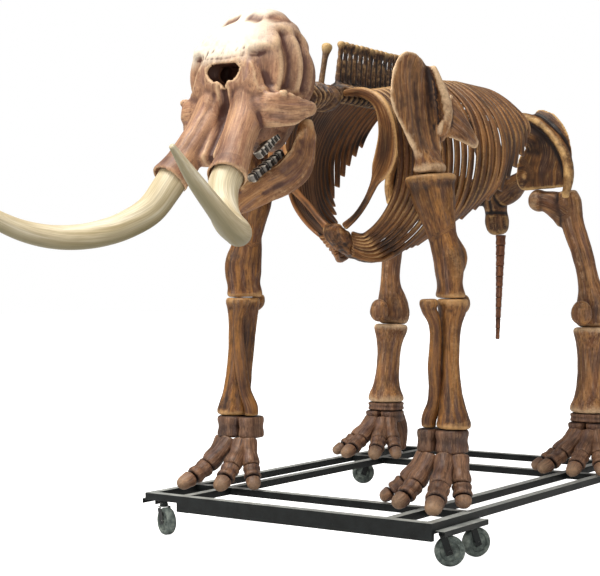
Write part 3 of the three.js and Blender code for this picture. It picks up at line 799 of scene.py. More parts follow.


# %% [markdown]
# ## Tusks and teeth
# Ivory has a fine grain that runs along the curve of the tusk. A painted texture could be wrapped
# round it, but the grain value of the bones already follows the curve. The tusks are also made
# darker underneath as painted shade, where the light from above falls less, so how far each point
# faces down is stored too. The teeth are dark enamel with worn pale ridges.


# %% Ivory and enamel
def ivory():
    made, tree, shader = new_material("tusk_ivory", 0.42)
    grain = attribute(tree, "grain", "Vector")
    fine = speckle(tree, stretched(tree, grain, (120, 120, 3.5)), 1.0, 4, 0.6)
    broad = speckle(tree, stretched(tree, grain, (28, 28, 1.6)), 1.0, 4, 0.55)
    colour = ramp(tree, broad, (0.3, tint(186, 170, 132)), (0.52, tint(222, 208, 176)),
                  (0.72, tint(240, 232, 210)))
    colour = mixed(tree, ramp(tree, fine, (0.4, GREY(0.45)), (0.62, GREY(0))), colour,
                   tint(150, 132, 92))
    # Painted shade: the underside of the tusk is mixed towards a dark olive.
    underside_shade = sum_of(tree, "MULTIPLY", attribute(tree, "underside_shade", "Fac"), 0.9, True)
    colour = mixed(tree, underside_shade, colour, tint(100, 92, 58))
    tree.links.new(colour, shader.inputs["Base Color"])
    bumped(tree, shader, fine, 0.25, 0.002)
    return made


def enamel():
    made, tree, shader = new_material("tooth_enamel", 0.3)
    ridge = sum_of(tree, "MULTIPLY", attribute(tree, "hollow", "Fac"), -1.6)
    spots = speckle(tree, own_place(tree), 60)
    value = sum_of(tree, "ADD", ridge, sum_of(tree, "MULTIPLY", spots, 0.5))
    tree.links.new(ramp(tree, value, (0.0, tint(44, 40, 38)), (0.3, tint(140, 135, 128)),
                        (0.56, tint(236, 230, 216))), shader.inputs["Base Color"])
    return made


IVORY, ENAMEL = ivory(), enamel()

# %% [markdown]
# A tusk tapers steadily and needs no fusing, so its one tube is the finished mesh.

# %% Tusks
tusk = Bone("tusk_left_ivory")
tusk.tube(tusk_stations(), sides=32, step=14, fillet=0.5)
tusk_piece = tusk.piece()
read_surface(tusk_piece, tusk, 2)
# Painted shade on the underside: how far each point faces down.
keep(tusk_piece, "underside_shade", np.clip(-normals_of(tusk_piece)[:, 2] * 1.2 + 0.08, 0, 1))
pair(tusk_piece, IVORY, "tusk")

# %% [markdown]
# A grinding tooth is a row of upright plates pressed together. Each plate is an oval column with
# a worn, dished end, so that its rim stays pale and its middle holds the dark stain.

# %% Molars
PLATES = 6
for name, (start, end, _), face_turn in (("upper_molar", UPPER_MOLAR, -1),
                                         ("lower_molar", LOWER_MOLAR, 1)):
    tooth = Bone(f"{name}_left_tooth")
    start, end = Vector(start), Vector(end)
    run = (end - start).normalized()
    rise = (Vector((0, 0, 1)) - run * run.z).normalized() * face_turn
    pitch = (end - start).length / PLATES
    middles = [start + run * pitch * (i + 0.5) for i in range(PLATES)]
    for i, at in enumerate(middles):
        low, high = at - rise * 24, at + rise * (25 + 3 * (i % 2))
        half = 35 - 2.4 * abs(i - (PLATES - 1) / 2)
        tooth.tube([(*low, half, pitch * 0.5), (*at, half, pitch * 0.49),
                    (*high, half * 0.97, pitch * 0.46)], sides=24, step=5, fillet=0.3,
                   square=2.3)
    tooth_piece = fused(tooth, 3.5, relax=2)
    for at in middles:
        wide = Vector((22, 0, 0))
        engrave(tooth_piece, [at + rise * 26 - wide, at + rise * 26 + wide], 14, 6, view="",
                facing=tuple(rise), both=False, stain_and_shade=0.9)
        engrave(tooth_piece, [at - rise * 11, at + rise * 13], pitch * 0.36, 5, view="x",
                facing=(1, -0.4, 0), both=False, stain_and_shade=0.9)
    read_surface(tooth_piece, tooth, 3, near=4, far=12)
    pair(tooth_piece, ENAMEL, name)

# %% [markdown]
# ## Neck
# Five short plates stacked close together, each with a broad wing, make the ridged wedge
# behind the head, which narrows towards the chest. The last neck bone carries a lone spine
# that leans back and ends in a rounded knob.

# %% Neck
for i in range(5):
    y, z = 100 + 66 * i, 2372 + 12 * i
    slim = 1 - 0.075 * i
    neck = Bone(f"neck_vertebra_{i + 1}")
    neck.tube([(0, y - 4, z, 110 * slim, 78), (0, y + 16, z + 5, 138 * slim, 92 * slim + 8),
               (0, y + 33, z + 7, 192 * slim, 118 * slim),
               (0, y + 45, z + 9, 204 * slim, 126 * slim),
               (0, y + 54, z + 10, 150 * slim, 100 * slim), (0, y + 64, z + 12, 108 * slim, 80)],
              sides=32, step=7, fillet=0.1, square=1.6)
    neck_piece = fused(neck, 8, relax=1, lumps=7, lump_size=0.04)
    engrave(neck_piece, [(70, y + 30, z + 130), (150, y + 30, z)], 16, 7, view="",
            facing=(0.6, 0, 0.6), stain_and_shade=0.3)
    keep(neck_piece, "stain_and_shade", kept(neck_piece, "stain_and_shade") + 0.3)
    read_surface(neck_piece, neck, 4 + i)
    rest_on_trolley(neck_piece, SPINES, "neck_vertebrae")

last_neck = Bone("last_neck_bone")
last_neck.tube([(0, 456, 2428, 86, 72), (0, 488, 2422, 112, 92), (0, 518, 2414, 114, 80),
                (0, 545, 2422, 84, 68), (0, 602, 2436, 62, 58)], sides=28, square=1.7)
last_neck.tube([(0, 458, 2484, 20, 19), (0, 492, 2620, 17, 20), (0, 516, 2700, 23, 26),
                (0, 524, 2722, 31, 33), (0, 530, 2742, 33, 34), (0, 535, 2756, 26, 26)], step=8)
last_neck_piece = fused(last_neck, 7, relax=2, lumps=4, lump_size=0.03)
read_surface(last_neck_piece, last_neck, 10)
keep(last_neck_piece, "bleach", 0.75 * np.clip((heights(last_neck_piece) - 2690) / 40, 0, 1))
rest_on_trolley(last_neck_piece, SPINES, "last_neck_vertebra")

# %% [markdown]
# ## Chest
# Twenty four vertebrae, each with a tall spine and a pair of ribs. The spines stand so close
# that they make a comb. The shape changes steadily along the chest, so a few measured
# vertebrae are enough, and the others lie between them.

# %% Chest measures
VERTEBRAE, PITCH, CHEST_FRONT = 24, 57, 640
RIB_HALF_WIDTH = 27
LAST_JOINED, FIRST_FREE = 9, 13  # ribs, counted from nought
CHEST_SHAPE = [  # vertebra: half width, height of the crown and of the widest part, crown's share
    (0, 402, 2446, 2215, 0.60), (5, 466, 2504, 2195, 0.48), (9, 536, 2556, 2190, 0.42),
    (13, 632, 2590, 2200, 0.36), (17, 684, 2604, 2215, 0.34), (23, 652, 2600, 2310, 0.33),
]
RIB_ENDS = [  # vertebra: where the rib ends
    (0, 188, 640, 1620), (1, 188, 692, 1606), (4, 186, 800, 1560), (8, 172, 1000, 1478),
    (12, 250, 1150, 1535), (15, 478, 1315, 1700), (18, 650, 1530, 1880), (21, 682, 1775, 2120),
    (23, 655, 1900, 2262),
]
SPINE_SHAPE = [(0, 2790, 46), (14, 2782, 52), (17, 2690, 44), (23, 2606, 26)]


def chest_node(index):
    """The CAD node that holds a vertebra, its neighbour and their ribs."""
    return f"chest_ribs_{index // 2 + 1:02d}"


def between(rows, index):
    """The measures at a vertebra, from the rows before and after it."""
    rows = np.array(rows, float)
    return [np.interp(index, rows[:, 0], rows[:, c]) for c in range(1, rows.shape[1])]


# %% [markdown]
# The first rib is a flat blade that faces forwards and narrows to a bar. The next ones bend round
# under the chest, and their gristle runs forward to the breastbone. The last ones end free, with a
# square cut end. The right ribs, on the far side and in shade, are made paler with painted light.


# %% Ribs
def rib_rows(index):
    """Stations of a rib, with the bar of gristle that joins ribs 2 to 10 to the breastbone."""
    half, crown, middle, reach = between(CHEST_SHAPE, index)
    end_x, end_y, end_z = between(RIB_ENDS, index)
    root = CHEST_FRONT + index * PITCH
    w = RIB_HALF_WIDTH
    low = 1.0 if index < 8 else 1.14
    free = index >= FIRST_FREE
    sweep = lambda part: root + (end_y - root) * part
    rows = [
        (50, root, 2462, w * 0.7, 14), (half * reach, sweep(0.06), crown, w, 13),
        (half * (reach + (1 - reach) * 0.72), sweep(0.27), crown * 0.54 + middle * 0.46, w, 12),
        (half, sweep(0.55), middle - (middle - end_z) * 0.1, w * low, 11),
        (half - (half - end_x) * 0.24, sweep(0.8), middle - (middle - end_z) * 0.7, w * low, 12),
        (end_x, end_y, end_z, w * (1.05 if free else 0.8), 10 if free else 12),
    ]
    if index >= 18:
        rows.pop(4)
    if index <= LAST_JOINED:
        t = (index - 1) / (LAST_JOINED - 1)
        heel = Vector((78 - 20 * t, 672 + 30 * t, 1604 - 126 * t))
        tip = Vector((end_x, end_y, end_z))
        for part, sag in ((0.4, 1.0), (0.75, 0.8), (1.0, 0.0)):
            at = tip.lerp(heel, part) + Vector((14, 0, -16 - 30 * t)) * sag
            rows.append((*at, 15, 13))
    return rows


FIRST_RIB = [
    (50, 640, 2462, 20, 20), (200, 618, 2452, 22, 32), (345, 578, 2372, 20, 44),
    (408, 562, 2200, 14, 62), (390, 565, 2050, 12, 76), (352, 568, 1965, 13, 64),
    (318, 574, 1915, 15, 34), (268, 596, 1850, 15, 22), (210, 620, 1782, 15, 20),
    (130, 624, 1695, 16, 20), (62, 610, 1640, 18, 24),
]


def rib(index):
    made = Bone(f"rib_left_{index + 1:02d}")
    rows = rib_rows(index) if index else FIRST_RIB
    made.tube(rows, across=(0, 1, 0), sides=16, step=20,
              fillet=0.25 if index >= FIRST_FREE else 0.7, square=2.8)
    piece = made.piece()
    if index:
        for line, depth, stain_and_shade in ((12, 3, 0.3), (-18, -2, -0.4)):
            engrave(piece, [(x, y + line * (-1 if index % 3 == 0 else 1), z)
                            for x, y, z, *_ in rows[1:6]], 9, depth, view="",
                    facing=(1, 0, 0), both=False, stain_and_shade=stain_and_shade)
    read_surface(piece, made, index, near=5, far=14)
    return piece


for index in range(VERTEBRAE):
    left = rib(index)
    right = other_side(left, f"rib_right_{index + 1:02d}")
    # Painted light: the far side ribs are made paler, as if lit.
    keep(right, "bleach", 0.4)
    rest_on_trolley(left, RIBS, chest_node(index))
    rest_on_trolley(right, RIBS, chest_node(index))


# %% [markdown]
# A chest vertebra is a drum with a bar across it and a tall flat spine. Many copies of one
# would look stamped, so each is fused anew, with its own height, lean, lumps and worn tip.

# %% Vertebrae
def chest_vertebra(index):
    y = CHEST_FRONT + index * PITCH
    tip, lean = between(SPINE_SHAPE, index)
    made = Bone(f"chest_vertebra_{index + 1:02d}")
    made.tube([(0, y - 27, 2454, 62, 56), (0, y, 2458, 50, 46), (0, y + 27, 2454, 62, 56)],
              step=9, fillet=0.15)
    made.tube([(-104, y + 8, 2480, 17, 17), (0, y, 2500, 30, 24), (104, y + 8, 2480, 17, 17)],
              across=(0, 0, 1))
    made.tube([(0, y, 2478, 20, 26), (0, y + lean * 0.5, (tip + 2478) / 2, 23, 15),
               (0, y + lean * 0.9, tip - 40, 24, 15), (0, y + lean, tip - 12, 27, 24),
               (0, y + lean + 2, tip, 24, 18)], across=(0, 1, 0), step=12, square=2.6)
    piece = fused(made, 8.5, relax=1, lumps=9, lump_size=0.025)
    engrave(piece, [(0, y + 4, 2540), (0, y + lean - 6, tip - 70)], 9, 5, view="x",
            facing=(1, 0, 0), stain_and_shade=0.4)
    read_surface(piece, made, 30 + index)
    worn_from = tip - 50 + 18 * (index % 3)
    keep(piece, "bleach", 0.6 * np.clip((heights(piece) - worn_from) / 45, 0, 1))
    return piece


for index in range(VERTEBRAE):
    rest_on_trolley(chest_vertebra(index), SPINES, chest_node(index))

# %% [markdown]
# ## Breastbone
# A low keel of bone and gristle under the chest, thick in front and thin behind. Strong lumps
# give it the knobbly look of gristle that has dried.

# %% Breastbone
sternum = Bone("breastbone_bone")
sternum.tube([(0, 566, 1648, 54, 34), (0, 600, 1610, 80, 48), (0, 676, 1556, 82, 56),
              (0, 780, 1504, 72, 46), (0, 900, 1466, 60, 34), (0, 1020, 1448, 52, 26),
              (0, 1110, 1448, 40, 18)], sides=28)
sternum_piece = fused(sternum, 8, relax=3, lumps=16, lump_size=0.05)
keep(sternum_piece, "stain_and_shade", 0.3)
read_surface(sternum_piece, sternum, 60)
rest_on_trolley(sternum_piece, RIBS, "breastbone")

# %% [markdown]
# ## Loins and tail
# The four loin vertebrae have short spines and long thin side bars. The ten tail segments are
# waisted drums that grow thinner as they hang down, with a dark line where two of them meet.

# %% Loins and tail
for i in range(4):
    y, z = 1996 + 76 * i, 2452 - 12 * i
    loin = Bone(f"loin_vertebra_{i + 1}")
    loin.tube([(0, y, z, 54, 48), (0, y + 38, z - 3, 70, 64), (0, y + 72, z - 8, 54, 48)], step=8,
              fillet=0.2)
    loin.tube([(0, y + 40, z + 28, 24, 20), (0, y + 60, z + 130 - i * 6, 20, 12)],
              across=(0, 1, 0), step=10)
    loin.tube([(-148, y + 34, z - 4, 9, 18), (0, y + 30, z, 22, 24), (148, y + 34, z - 4, 9, 18)],
              across=(0, 0, 1))
    loin_piece = fused(loin, 8, relax=2, lumps=4)
    read_surface(loin_piece, loin, 61 + i)
    keep(loin_piece, "bleach", 0.7 * np.clip((heights(loin_piece) - z - 100) / 30, 0, 1))
    rest_on_trolley(loin_piece, SPINES, "loin_vertebrae")

SEGMENTS, SEGMENT_HEIGHT, SEGMENT_PITCH = 10, 76, 76.4
JOINT_STAIN = 12
for i in range(SEGMENTS):
    thick = 40 - 23 * (i / (SEGMENTS - 1)) ** 0.9
    top, y = 1632 - SEGMENT_PITCH * i, 2784 - 6 * i
    segment = Bone(f"tail_segment_{i + 1:02d}")
    segment.tube([(0, y, top, thick, thick * 0.9), (0, y - 2, top - 34, thick * 0.88, thick * 0.8),
                  (0, y - 4, top - 60, thick * 0.94, thick * 0.86),
                  (0, y - 6, top - SEGMENT_HEIGHT, thick * 0.88, thick * 0.8)], step=8,
                 fillet=0.12)
    segment_piece = fused(segment, 5, relax=1, lumps=2)
    below = top - heights(segment_piece)
    to_joint = np.minimum(below, SEGMENT_HEIGHT - below)
    keep(segment_piece, "stain_and_shade", 0.9 * np.clip(1 - to_joint / JOINT_STAIN, 0, 1))
    read_surface(segment_piece, segment, 66 + i)
    rest_on_trolley(segment_piece, TAIL, "tail")

# %% [markdown]
# ## Hips
# Two thin flat wings with a thick rolled crest, the fused sacrum between them, and a bar that
# runs in and back from each hip joint to the sacrum. A wing could be cut from a sheet, but as
# a tube that is far wider than deep it fuses with the crest, the sacrum and the bar.

# %% Pelvis
hips = Bone("pelvis_bone")
hips.tube([(0, 2310, 2405, 80, 70), (0, 2560, 2290, 104, 84), (0, 2660, 2090, 100, 84),
           (0, 2684, 1920, 104, 92), (0, 2712, 1800, 82, 78), (0, 2726, 1730, 90, 84),
           (0, 2742, 1636, 70, 68)], sides=24)
hips.tube([(512, 2446, 1937, 172, 26), (510, 2448, 1985, 204, 28), (510, 2450, 2056, 214, 28),
           (540, 2448, 2200, 186, 20), (500, 2448, 2318, 168, 20), (390, 2454, 2390, 130, 20)],
          both=True, sides=28)
hips.tube([(40, 2470, 2390, 40, 40), (220, 2462, 2446, 39, 34), (430, 2446, 2426, 44, 34),
           (600, 2430, 2300, 48, 36), (700, 2412, 2140, 48, 36), (724, 2396, 2000, 42, 33),
           (704, 2380, 1864, 26, 24)], across=(0, 1, 0), both=True)
hips.tube([(430, 2470, 2032, 80, 82), (300, 2540, 2012, 68, 68), (140, 2640, 1945, 94, 82),
           (50, 2665, 1915, 90, 80)], across=(0, 0, 1), both=True)
hips_piece = fused(hips, 10, relax=2, lumps=7, lump_size=0.09)
for line in ([(-110, 2600, 1790), (110, 2600, 1790)], [(0, 2600, 1960), (0, 2600, 1790)]):
    engrave(hips_piece, line, 22, 9, facing=(0.4, -0.9, 0), both=False, stain_and_shade=0.12)
read_surface(hips_piece, hips, 63)
rest_on_trolley(hips_piece, HIPS, "pelvis")

# %% [markdown]
# ## Shoulder blade
# A broad thin fan, narrow and thick at the joint below. A ridge stands up on its outer side, and a
# long flat point runs back from it. Tubes that are wide and thin thicken smoothly towards the
# joint. Shallow dips before and behind the ridge are darker, partly stain and partly painted shade.

# %% Shoulder blade
blade = Bone("shoulder_blade_left_bone")
blade.tube([(655, 640, 1937, 112, 84), (654, 640, 1956, 124, 90), (650, 640, 1980, 122, 86),
            (646, 640, 2010, 122, 66), (638, 636, 2070, 146, 46), (622, 628, 2160, 198, 36),
            (606, 614, 2380, 336, 28), (606, 604, 2500, 286, 30), (614, 648, 2596, 116, 18)],
           across=(0, 1, 0), sides=36, fillet=0.4)
blade.tube([(634, 690, 2580, 20, 26), (664, 745, 2440, 34, 44), (674, 775, 2320, 38, 56),
            (662, 784, 2220, 34, 44), (640, 780, 2140, 22, 24)], across=(0, 1, 0))
blade.tube([(668, 770, 2310, 144, 24), (714, 940, 2215, 82, 22), (728, 1080, 2134, 32, 20)],
           across=(0, 0, 1))
blade_piece = fused(blade, 9, relax=4, lumps=8, lump_size=0.08)
engrave_all(blade_piece, [
    ([(0, 470, 2560), (0, 520, 2380), (0, 560, 2130)], 100, 12, 0.1),
    ([(0, 640, 2590), (0, 660, 2400), (0, 660, 2100)], 60, 8, 0.14),
    ([(0, 690, 2560), (0, 735, 2330), (0, 735, 2100)], 40, -9, -0.1),
    ([(0, 860, 2380), (0, 930, 2280), (0, 1000, 2210)], 60, 7, 0.06)], **FROM_SIDE)
read_surface(blade_piece, blade, 70)
pair(blade_piece, LEGS, "shoulder_blade")

# %% [markdown]
# ## Upper arm and forearm
# The upper arm bone twists below its middle: its lower half is broad from the outer front to
# the inner back, as is the thick forearm bone with the elbow. The turn could be made by
# twisting one tube, but two tubes that overlap keep both ends exact. A thin forearm bone
# stands in front on the inner side.

# %% Upper arm and forearm
twist = (0.8, -0.6, 0)
arm = Bone("humerus_left_bone")
arm.tube([(658, 640, 1933, 150, 124), (659, 640, 1914, 160, 132), (660, 641, 1892, 156, 128),
          (663, 642, 1868, 142, 117), (674, 644, 1810, 136, 112), (700, 655, 1680, 106, 96),
          (724, 664, 1560, 84, 80), (740, 668, 1440, 60, 60)], sides=32, fillet=0.14)
arm.tube([(700, 655, 1780, 50, 50), (716, 662, 1640, 84, 76), (738, 668, 1510, 104, 82),
          (760, 668, 1430, 119, 84), (764, 670, 1350, 118, 76), (764, 676, 1284, 108, 68),
          (764, 682, 1246, 114, 76), (764, 684, 1226, 118, 84), (764, 684, 1207, 112, 78)],
         across=twist, sides=32, fillet=0.14)
arm.tube([(790, 700, 1560, 22, 20), (834, 704, 1440, 34, 32), (822, 702, 1360, 24, 22)],
         across=(0, 1, 0))
arm_piece = fused(arm, 9, relax=10, lumps=5, lump_size=0.08)
engrave(arm_piece, [(690, 520, 1840), (730, 560, 1640), (752, 585, 1480)], 56, 7, stain_and_shade=0.08,
        **FROM_OUTER_FRONT)
read_surface(arm_piece, arm, 71)
pair(arm_piece, ARMS, "humerus")

inner = Bone("radius_left_bone")
inner.tube([(694, 550, 1204, 50, 42), (694, 550, 1178, 60, 49), (694, 551, 1150, 50, 42),
            (714, 560, 1100, 42, 38), (716, 574, 800, 41, 36), (696, 602, 590, 41, 40),
            (658, 608, 490, 46, 46), (656, 608, 447, 44, 43)], sides=20, fillet=0.2)
inner_piece = fused(inner, 8, relax=2, lumps=4, lump_size=0.05)
read_surface(inner_piece, inner, 72)
pair(inner_piece, ARMS, "radius")

outer = Bone("ulna_left_bone")
outer.tube([(778, 682, 1204, 104, 84), (778, 682, 1180, 112, 92), (777, 681, 1150, 106, 84),
            (770, 670, 1070, 96, 66), (770, 655, 900, 86, 54), (782, 643, 720, 84, 56),
            (800, 636, 560, 96, 78), (808, 634, 490, 112, 94), (810, 634, 466, 118, 100),
            (810, 634, 446, 110, 94)], across=twist, sides=32, fillet=0.14)
outer.tube([(776, 740, 1130, 56, 44), (762, 838, 1190, 44, 40), (758, 850, 1224, 26, 24)])
outer_piece = fused(outer, 9, relax=2, lumps=5, lump_size=0.07)
engrave(outer_piece, [(800, 575, 1130), (800, 566, 900), (812, 556, 640), (822, 540, 500)], 36, 6,
        stain_and_shade=0.08, **FROM_OUTER_FRONT)
read_surface(outer_piece, outer, 73)
pair(outer_piece, ARMS, "ulna")


# %% [markdown]
# ## Feet
# A fore foot has two tall wrist blocks side by side, a hind foot one broad ankle block over
# two smaller ones, with a heel behind. Four toes spread forward and down to the deck. Each
# toe is a long bone and a short one, both with a lip at either end, and a rounded tip. They
# all but touch at their joints, and stay separate pieces.


# %% Toe bones
FOOT_JOINT_STAIN = 16 * MM
OFF_DECK = 1.5


def foot_bone(name, stations, across, seed, fillet, square=2.0):
    made = Bone(name)
    made.tube(stations, across=across, sides=24, step=7, fillet=fillet, square=square)
    piece = fused(made, 7.8, relax=1, lumps=3, lump_size=0.035)
    ends = [np.array(spot(*stations[k][:3])) for k in (0, -1)]
    along = (ends[1] - ends[0]) / np.linalg.norm(ends[1] - ends[0])
    to_joint = (points_of(piece) - ends[0]) @ along
    if fillet <= 0.5:  # a rounder one has no joint at its far end
        to_joint = np.minimum(to_joint, np.linalg.norm(ends[1] - ends[0]) - to_joint)
    keep(piece, "stain_and_shade", 0.9 * np.clip(1 - to_joint / FOOT_JOINT_STAIN, 0, 1))
    read_surface(piece, made, seed, near=3, far=10)
    return piece


def toe(foot, number, root, tip, girth):
    """The three bones of a toe, from the wrist or ankle to the deck."""
    lowest = lambda half: half * 0.9 + OFF_DECK
    foot_rest = lowest(girth * 0.6)

    def place(t, swell):
        half = girth * swell
        fall = (1 - t) ** 1.2 * (1 - 0.15 * t)
        x, y = [a + (b - a) * t**1.15 for a, b in zip(root, tip)]
        return (x, y, max(foot_rest + (root[2] - foot_rest) * fall, lowest(half)), half, half * 0.9)

    across = (tip[1] - root[1], root[0] - tip[0], 0)
    bones = ((0.0, 0.5, (0.98, 1.0, 0.88, 1.04, 0.94)),
             (0.505, 0.755, (0.95, 1.04, 0.9, 1.02, 0.92)))
    made = []
    for k, (start, end, swells) in enumerate(bones):
        stations = [place(start + (end - start) * part, swell)
                    for part, swell in zip((0, 0.14, 0.5, 0.86, 1), swells)]
        made.append(foot_bone(f"{foot}_toe_{number}_bone_{k + 1}", stations, across,
                              80 + number * 3 + k, 0.24))
    stations = [place(0.76, 0.9), place(0.79, 0.98), place(0.84, 0.88), place(0.92, 0.78),
                place(1.0, 0.56)]
    made.append(foot_bone(f"{foot}_toe_{number}_tip", stations, across, 82 + number * 3, 0.75))
    ahead = (points_of(made[-1])[:, :2] - np.array(spot(*place(0.84, 1)[:3]))[:2]) @ np.array(
        [tip[0] - root[0], tip[1] - root[1]]) / math.dist(root[:2], tip)
    keep(made[-1], "bleach", 0.5 * np.clip(ahead / (80 * MM), 0, 1))
    return made


def block(foot, label, place, size, seed):
    """A wrist or ankle block with a waist, square in plan."""
    x, y, z = place
    w, d, h = size
    levels = ((-1, 0.95), (-0.7, 1), (0, 0.93), (0.7, 1), (1, 0.95))
    stations = [(x, y, z + h * level, w * swell, d * swell) for level, swell in levels]
    return foot_bone(f"{foot}_{label}", stations, (1, 0, 0), seed, 0.12, 3.2)


# %% [markdown]
# The right fore foot of the mount is set a little differently, so it has toe tips of its own.
# It is built on the left side like the other, and then mirrored.

# %% Fore feet
FORE_ROOTS = ((650, 570, 300), (700, 560, 290), (795, 560, 290), (872, 590, 300))
FORE_TIPS = {"left": ((422, 440), (640, 250), (936, 160), (984, 440)),
             "right": ((466, 386), (626, 222), (896, 166), (1006, 404))}
for which, tips in FORE_TIPS.items():
    name = f"fore_foot_{which}"
    bones = [block(name, f"wrist_{k + 1}", place, size, 74 + k) for k, (place, size) in enumerate((
        ((662, 614, 374), (60, 90, 69)), ((812, 612, 374), (88, 90, 69))))]
    for number, (root, tip, girth) in enumerate(zip(FORE_ROOTS, tips, (54, 61, 63, 58)), 1):
        bones += toe(name, number, root, tip, girth)
    for bone in bones:
        if which == "right":
            label, old = bone.name, bone
            bone = other_side(old, label + "_mirrored")
            bpy.data.objects.remove(old)
            bone.name = label
        rest_on_trolley(bone, FEET, name)

# %% [markdown]
# ## Hind leg
# The thigh bone carries a round head on a slanting neck, which meets the hip, and ends in a
# broad knee. The kneecap is a rounded lump in front of it, and the shin bone flares at both
# ends. Shaft and neck are tubes, and the head is a knob that fuses with them.

# %% Thigh, kneecap and shin
thigh = Bone("femur_left_bone")
thigh.tube([(672, 2490, 1922, 60, 54), (676, 2490, 1872, 84, 70), (704, 2492, 1710, 80, 71),
            (770, 2508, 1490, 74, 70), (808, 2546, 1260, 80, 78), (816, 2588, 1120, 122, 104),
            (814, 2592, 1030, 127, 107), (814, 2588, 974, 108, 92)], sides=32, fillet=0.26)
thigh.tube([(440, 2490, 1862, 66, 66), (530, 2490, 1846, 80, 66), (600, 2490, 1818, 104, 62),
            (690, 2490, 1770, 138, 64)], across=(0, 0, 1), sides=24)
thigh.knob((452, 2490, 1860), (74, 80, 80))
thigh_piece = fused(thigh, 10, relax=3, lumps=6, lump_size=0.08)
engrave(thigh_piece, [(740, 2400, 1740), (790, 2420, 1480), (830, 2450, 1260)], 34, 8,
        stain_and_shade=0.2, **FROM_OUTER_FRONT)
read_surface(thigh_piece, thigh, 75)
pair(thigh_piece, LEGS, "femur")

cap = Bone("kneecap_left_bone")
cap.tube([(816, 2396, 994, 40, 34), (816, 2396, 1040, 70, 52), (816, 2396, 1100, 72, 54),
          (816, 2396, 1162, 36, 30)], fillet=0.9)
cap_piece = fused(cap, 8, relax=2, lumps=5, lump_size=0.05)
read_surface(cap_piece, cap, 76)
pair(cap_piece, LEGS, "kneecap")

shin = Bone("tibia_left_bone")
shin.tube([(818, 2566, 971, 120, 110), (818, 2564, 950, 131, 120), (818, 2560, 926, 128, 117),
           (818, 2550, 876, 112, 100), (820, 2520, 640, 89, 83), (824, 2506, 490, 112, 98),
           (826, 2502, 430, 138, 118), (826, 2502, 412, 140, 119), (826, 2502, 391, 132, 110)],
          sides=32, fillet=0.14)
shin_piece = fused(shin, 10, relax=2, lumps=5, lump_size=0.08)
read_surface(shin_piece, shin, 77)
pair(shin_piece, LEGS, "tibia")

# %% [markdown]
# Both hind feet are set alike, so every block and toe bone is made once and mirrored.

# %% Hind feet
name = "hind_foot_left"
bones = [block(name, f"ankle_{k + 1}", place, size, 78 + k) for k, (place, size) in enumerate((
    ((826, 2502, 358), (130, 108, 31)), ((760, 2484, 284), (64, 104, 42)),
    ((892, 2484, 284), (64, 104, 42))))]
bones.append(foot_bone(f"{name}_heel", [(828, 2600, 322, 84, 44), (828, 2680, 170, 76, 60),
                                        (828, 2690, 4, 52, 50)], (1, 0, 0), 82, 0.5))
for number, (root, tip, girth) in enumerate((
        ((752, 2430, 270), (540, 2190), 52), ((796, 2410, 262), (660, 2060), 59),
        ((866, 2410, 262), (900, 2030), 59), ((908, 2430, 270), (1070, 2150), 54)), 1):
    bones += toe(name, number, root, tip, girth)
for bone in bones:
    pair(bone, FEET, "hind_foot")


# %% [markdown]
# ## Trolley
# The welded frame's shape is right in the CAD model, so the node stays. Its corners get a
# small bevel by modifiers, after the loose triangles are welded. The black paint is dusty
# where it faces up, and flecked all over. The grey green rubber of the wheels is dirty in
# blotches.


# %% Painted steel and rubber
def black_paint():
    made, tree, shader = new_material("black_paint", 0.4, specular=0.25)
    place = own_place(tree)
    facing = node(tree, "ShaderNodeSeparateXYZ")
    tree.links.new(node(tree, "ShaderNodeNewGeometry").outputs["Normal"], facing.inputs[0])
    blotch = speckle(tree, place, 9, 5, 0.65)
    fine = speckle(tree, place, 120, 4, 0.7)
    colour = ramp(tree, blotch, (0.35, tint(12, 15, 16)), (0.7, tint(30, 35, 36)))
    dust = sum_of(tree, "MULTIPLY", sum_of(tree, "MULTIPLY", facing.outputs[2], blotch, True), 1.5)
    colour = mixed(tree, sum_of(tree, "MINIMUM", dust, 0.85), colour, tint(188, 192, 188))
    colour = mixed(tree, ramp(tree, fine, (0.64, GREY(0)), (0.76, GREY(0.25))), colour,
                   tint(110, 116, 114))
    tree.links.new(colour, shader.inputs["Base Color"])
    tree.links.new(ramp(tree, blotch, (0.3, GREY(0.32)), (0.7, GREY(0.55))),
                   shader.inputs["Roughness"])
    bumped(tree, shader, fine, 0.2, 0.001)
    return made


def dirty_rubber():
    made, tree, shader = new_material("wheel_rubber", 0.75)
    blotch = speckle(tree, own_place(tree), 26, 5, 0.7)
    colour = ramp(tree, blotch, (0.32, tint(44, 50, 48)), (0.5, tint(84, 94, 90)),
                  (0.7, tint(134, 142, 134)))
    tree.links.new(colour, shader.inputs["Base Color"])
    bumped(tree, shader, blotch, 0.4, 0.002)
    return made


PAINT, RUBBER = black_paint(), dirty_rubber()
trolley = frame["nodes"]["trolley_frame"]
trolley.data.materials.clear()
trolley.data.materials.append(PAINT)
weld = trolley.modifiers.new("weld", "WELD")
weld.merge_threshold = 0.0001
soften = trolley.modifiers.new("soften", "BEVEL")
soften.width, soften.segments, soften.limit_method = 0.002, 2, "ANGLE"

# %% [markdown]
# ## Castors
# Each castor is a round swivel with a fork under it and a moulded wheel on an axle. The wheel
# is spun from half its section, which no stack of cylinders would match. The fork's legs lean
# back to the axle, and its bridge fits between the top of the wheel and the channel above.


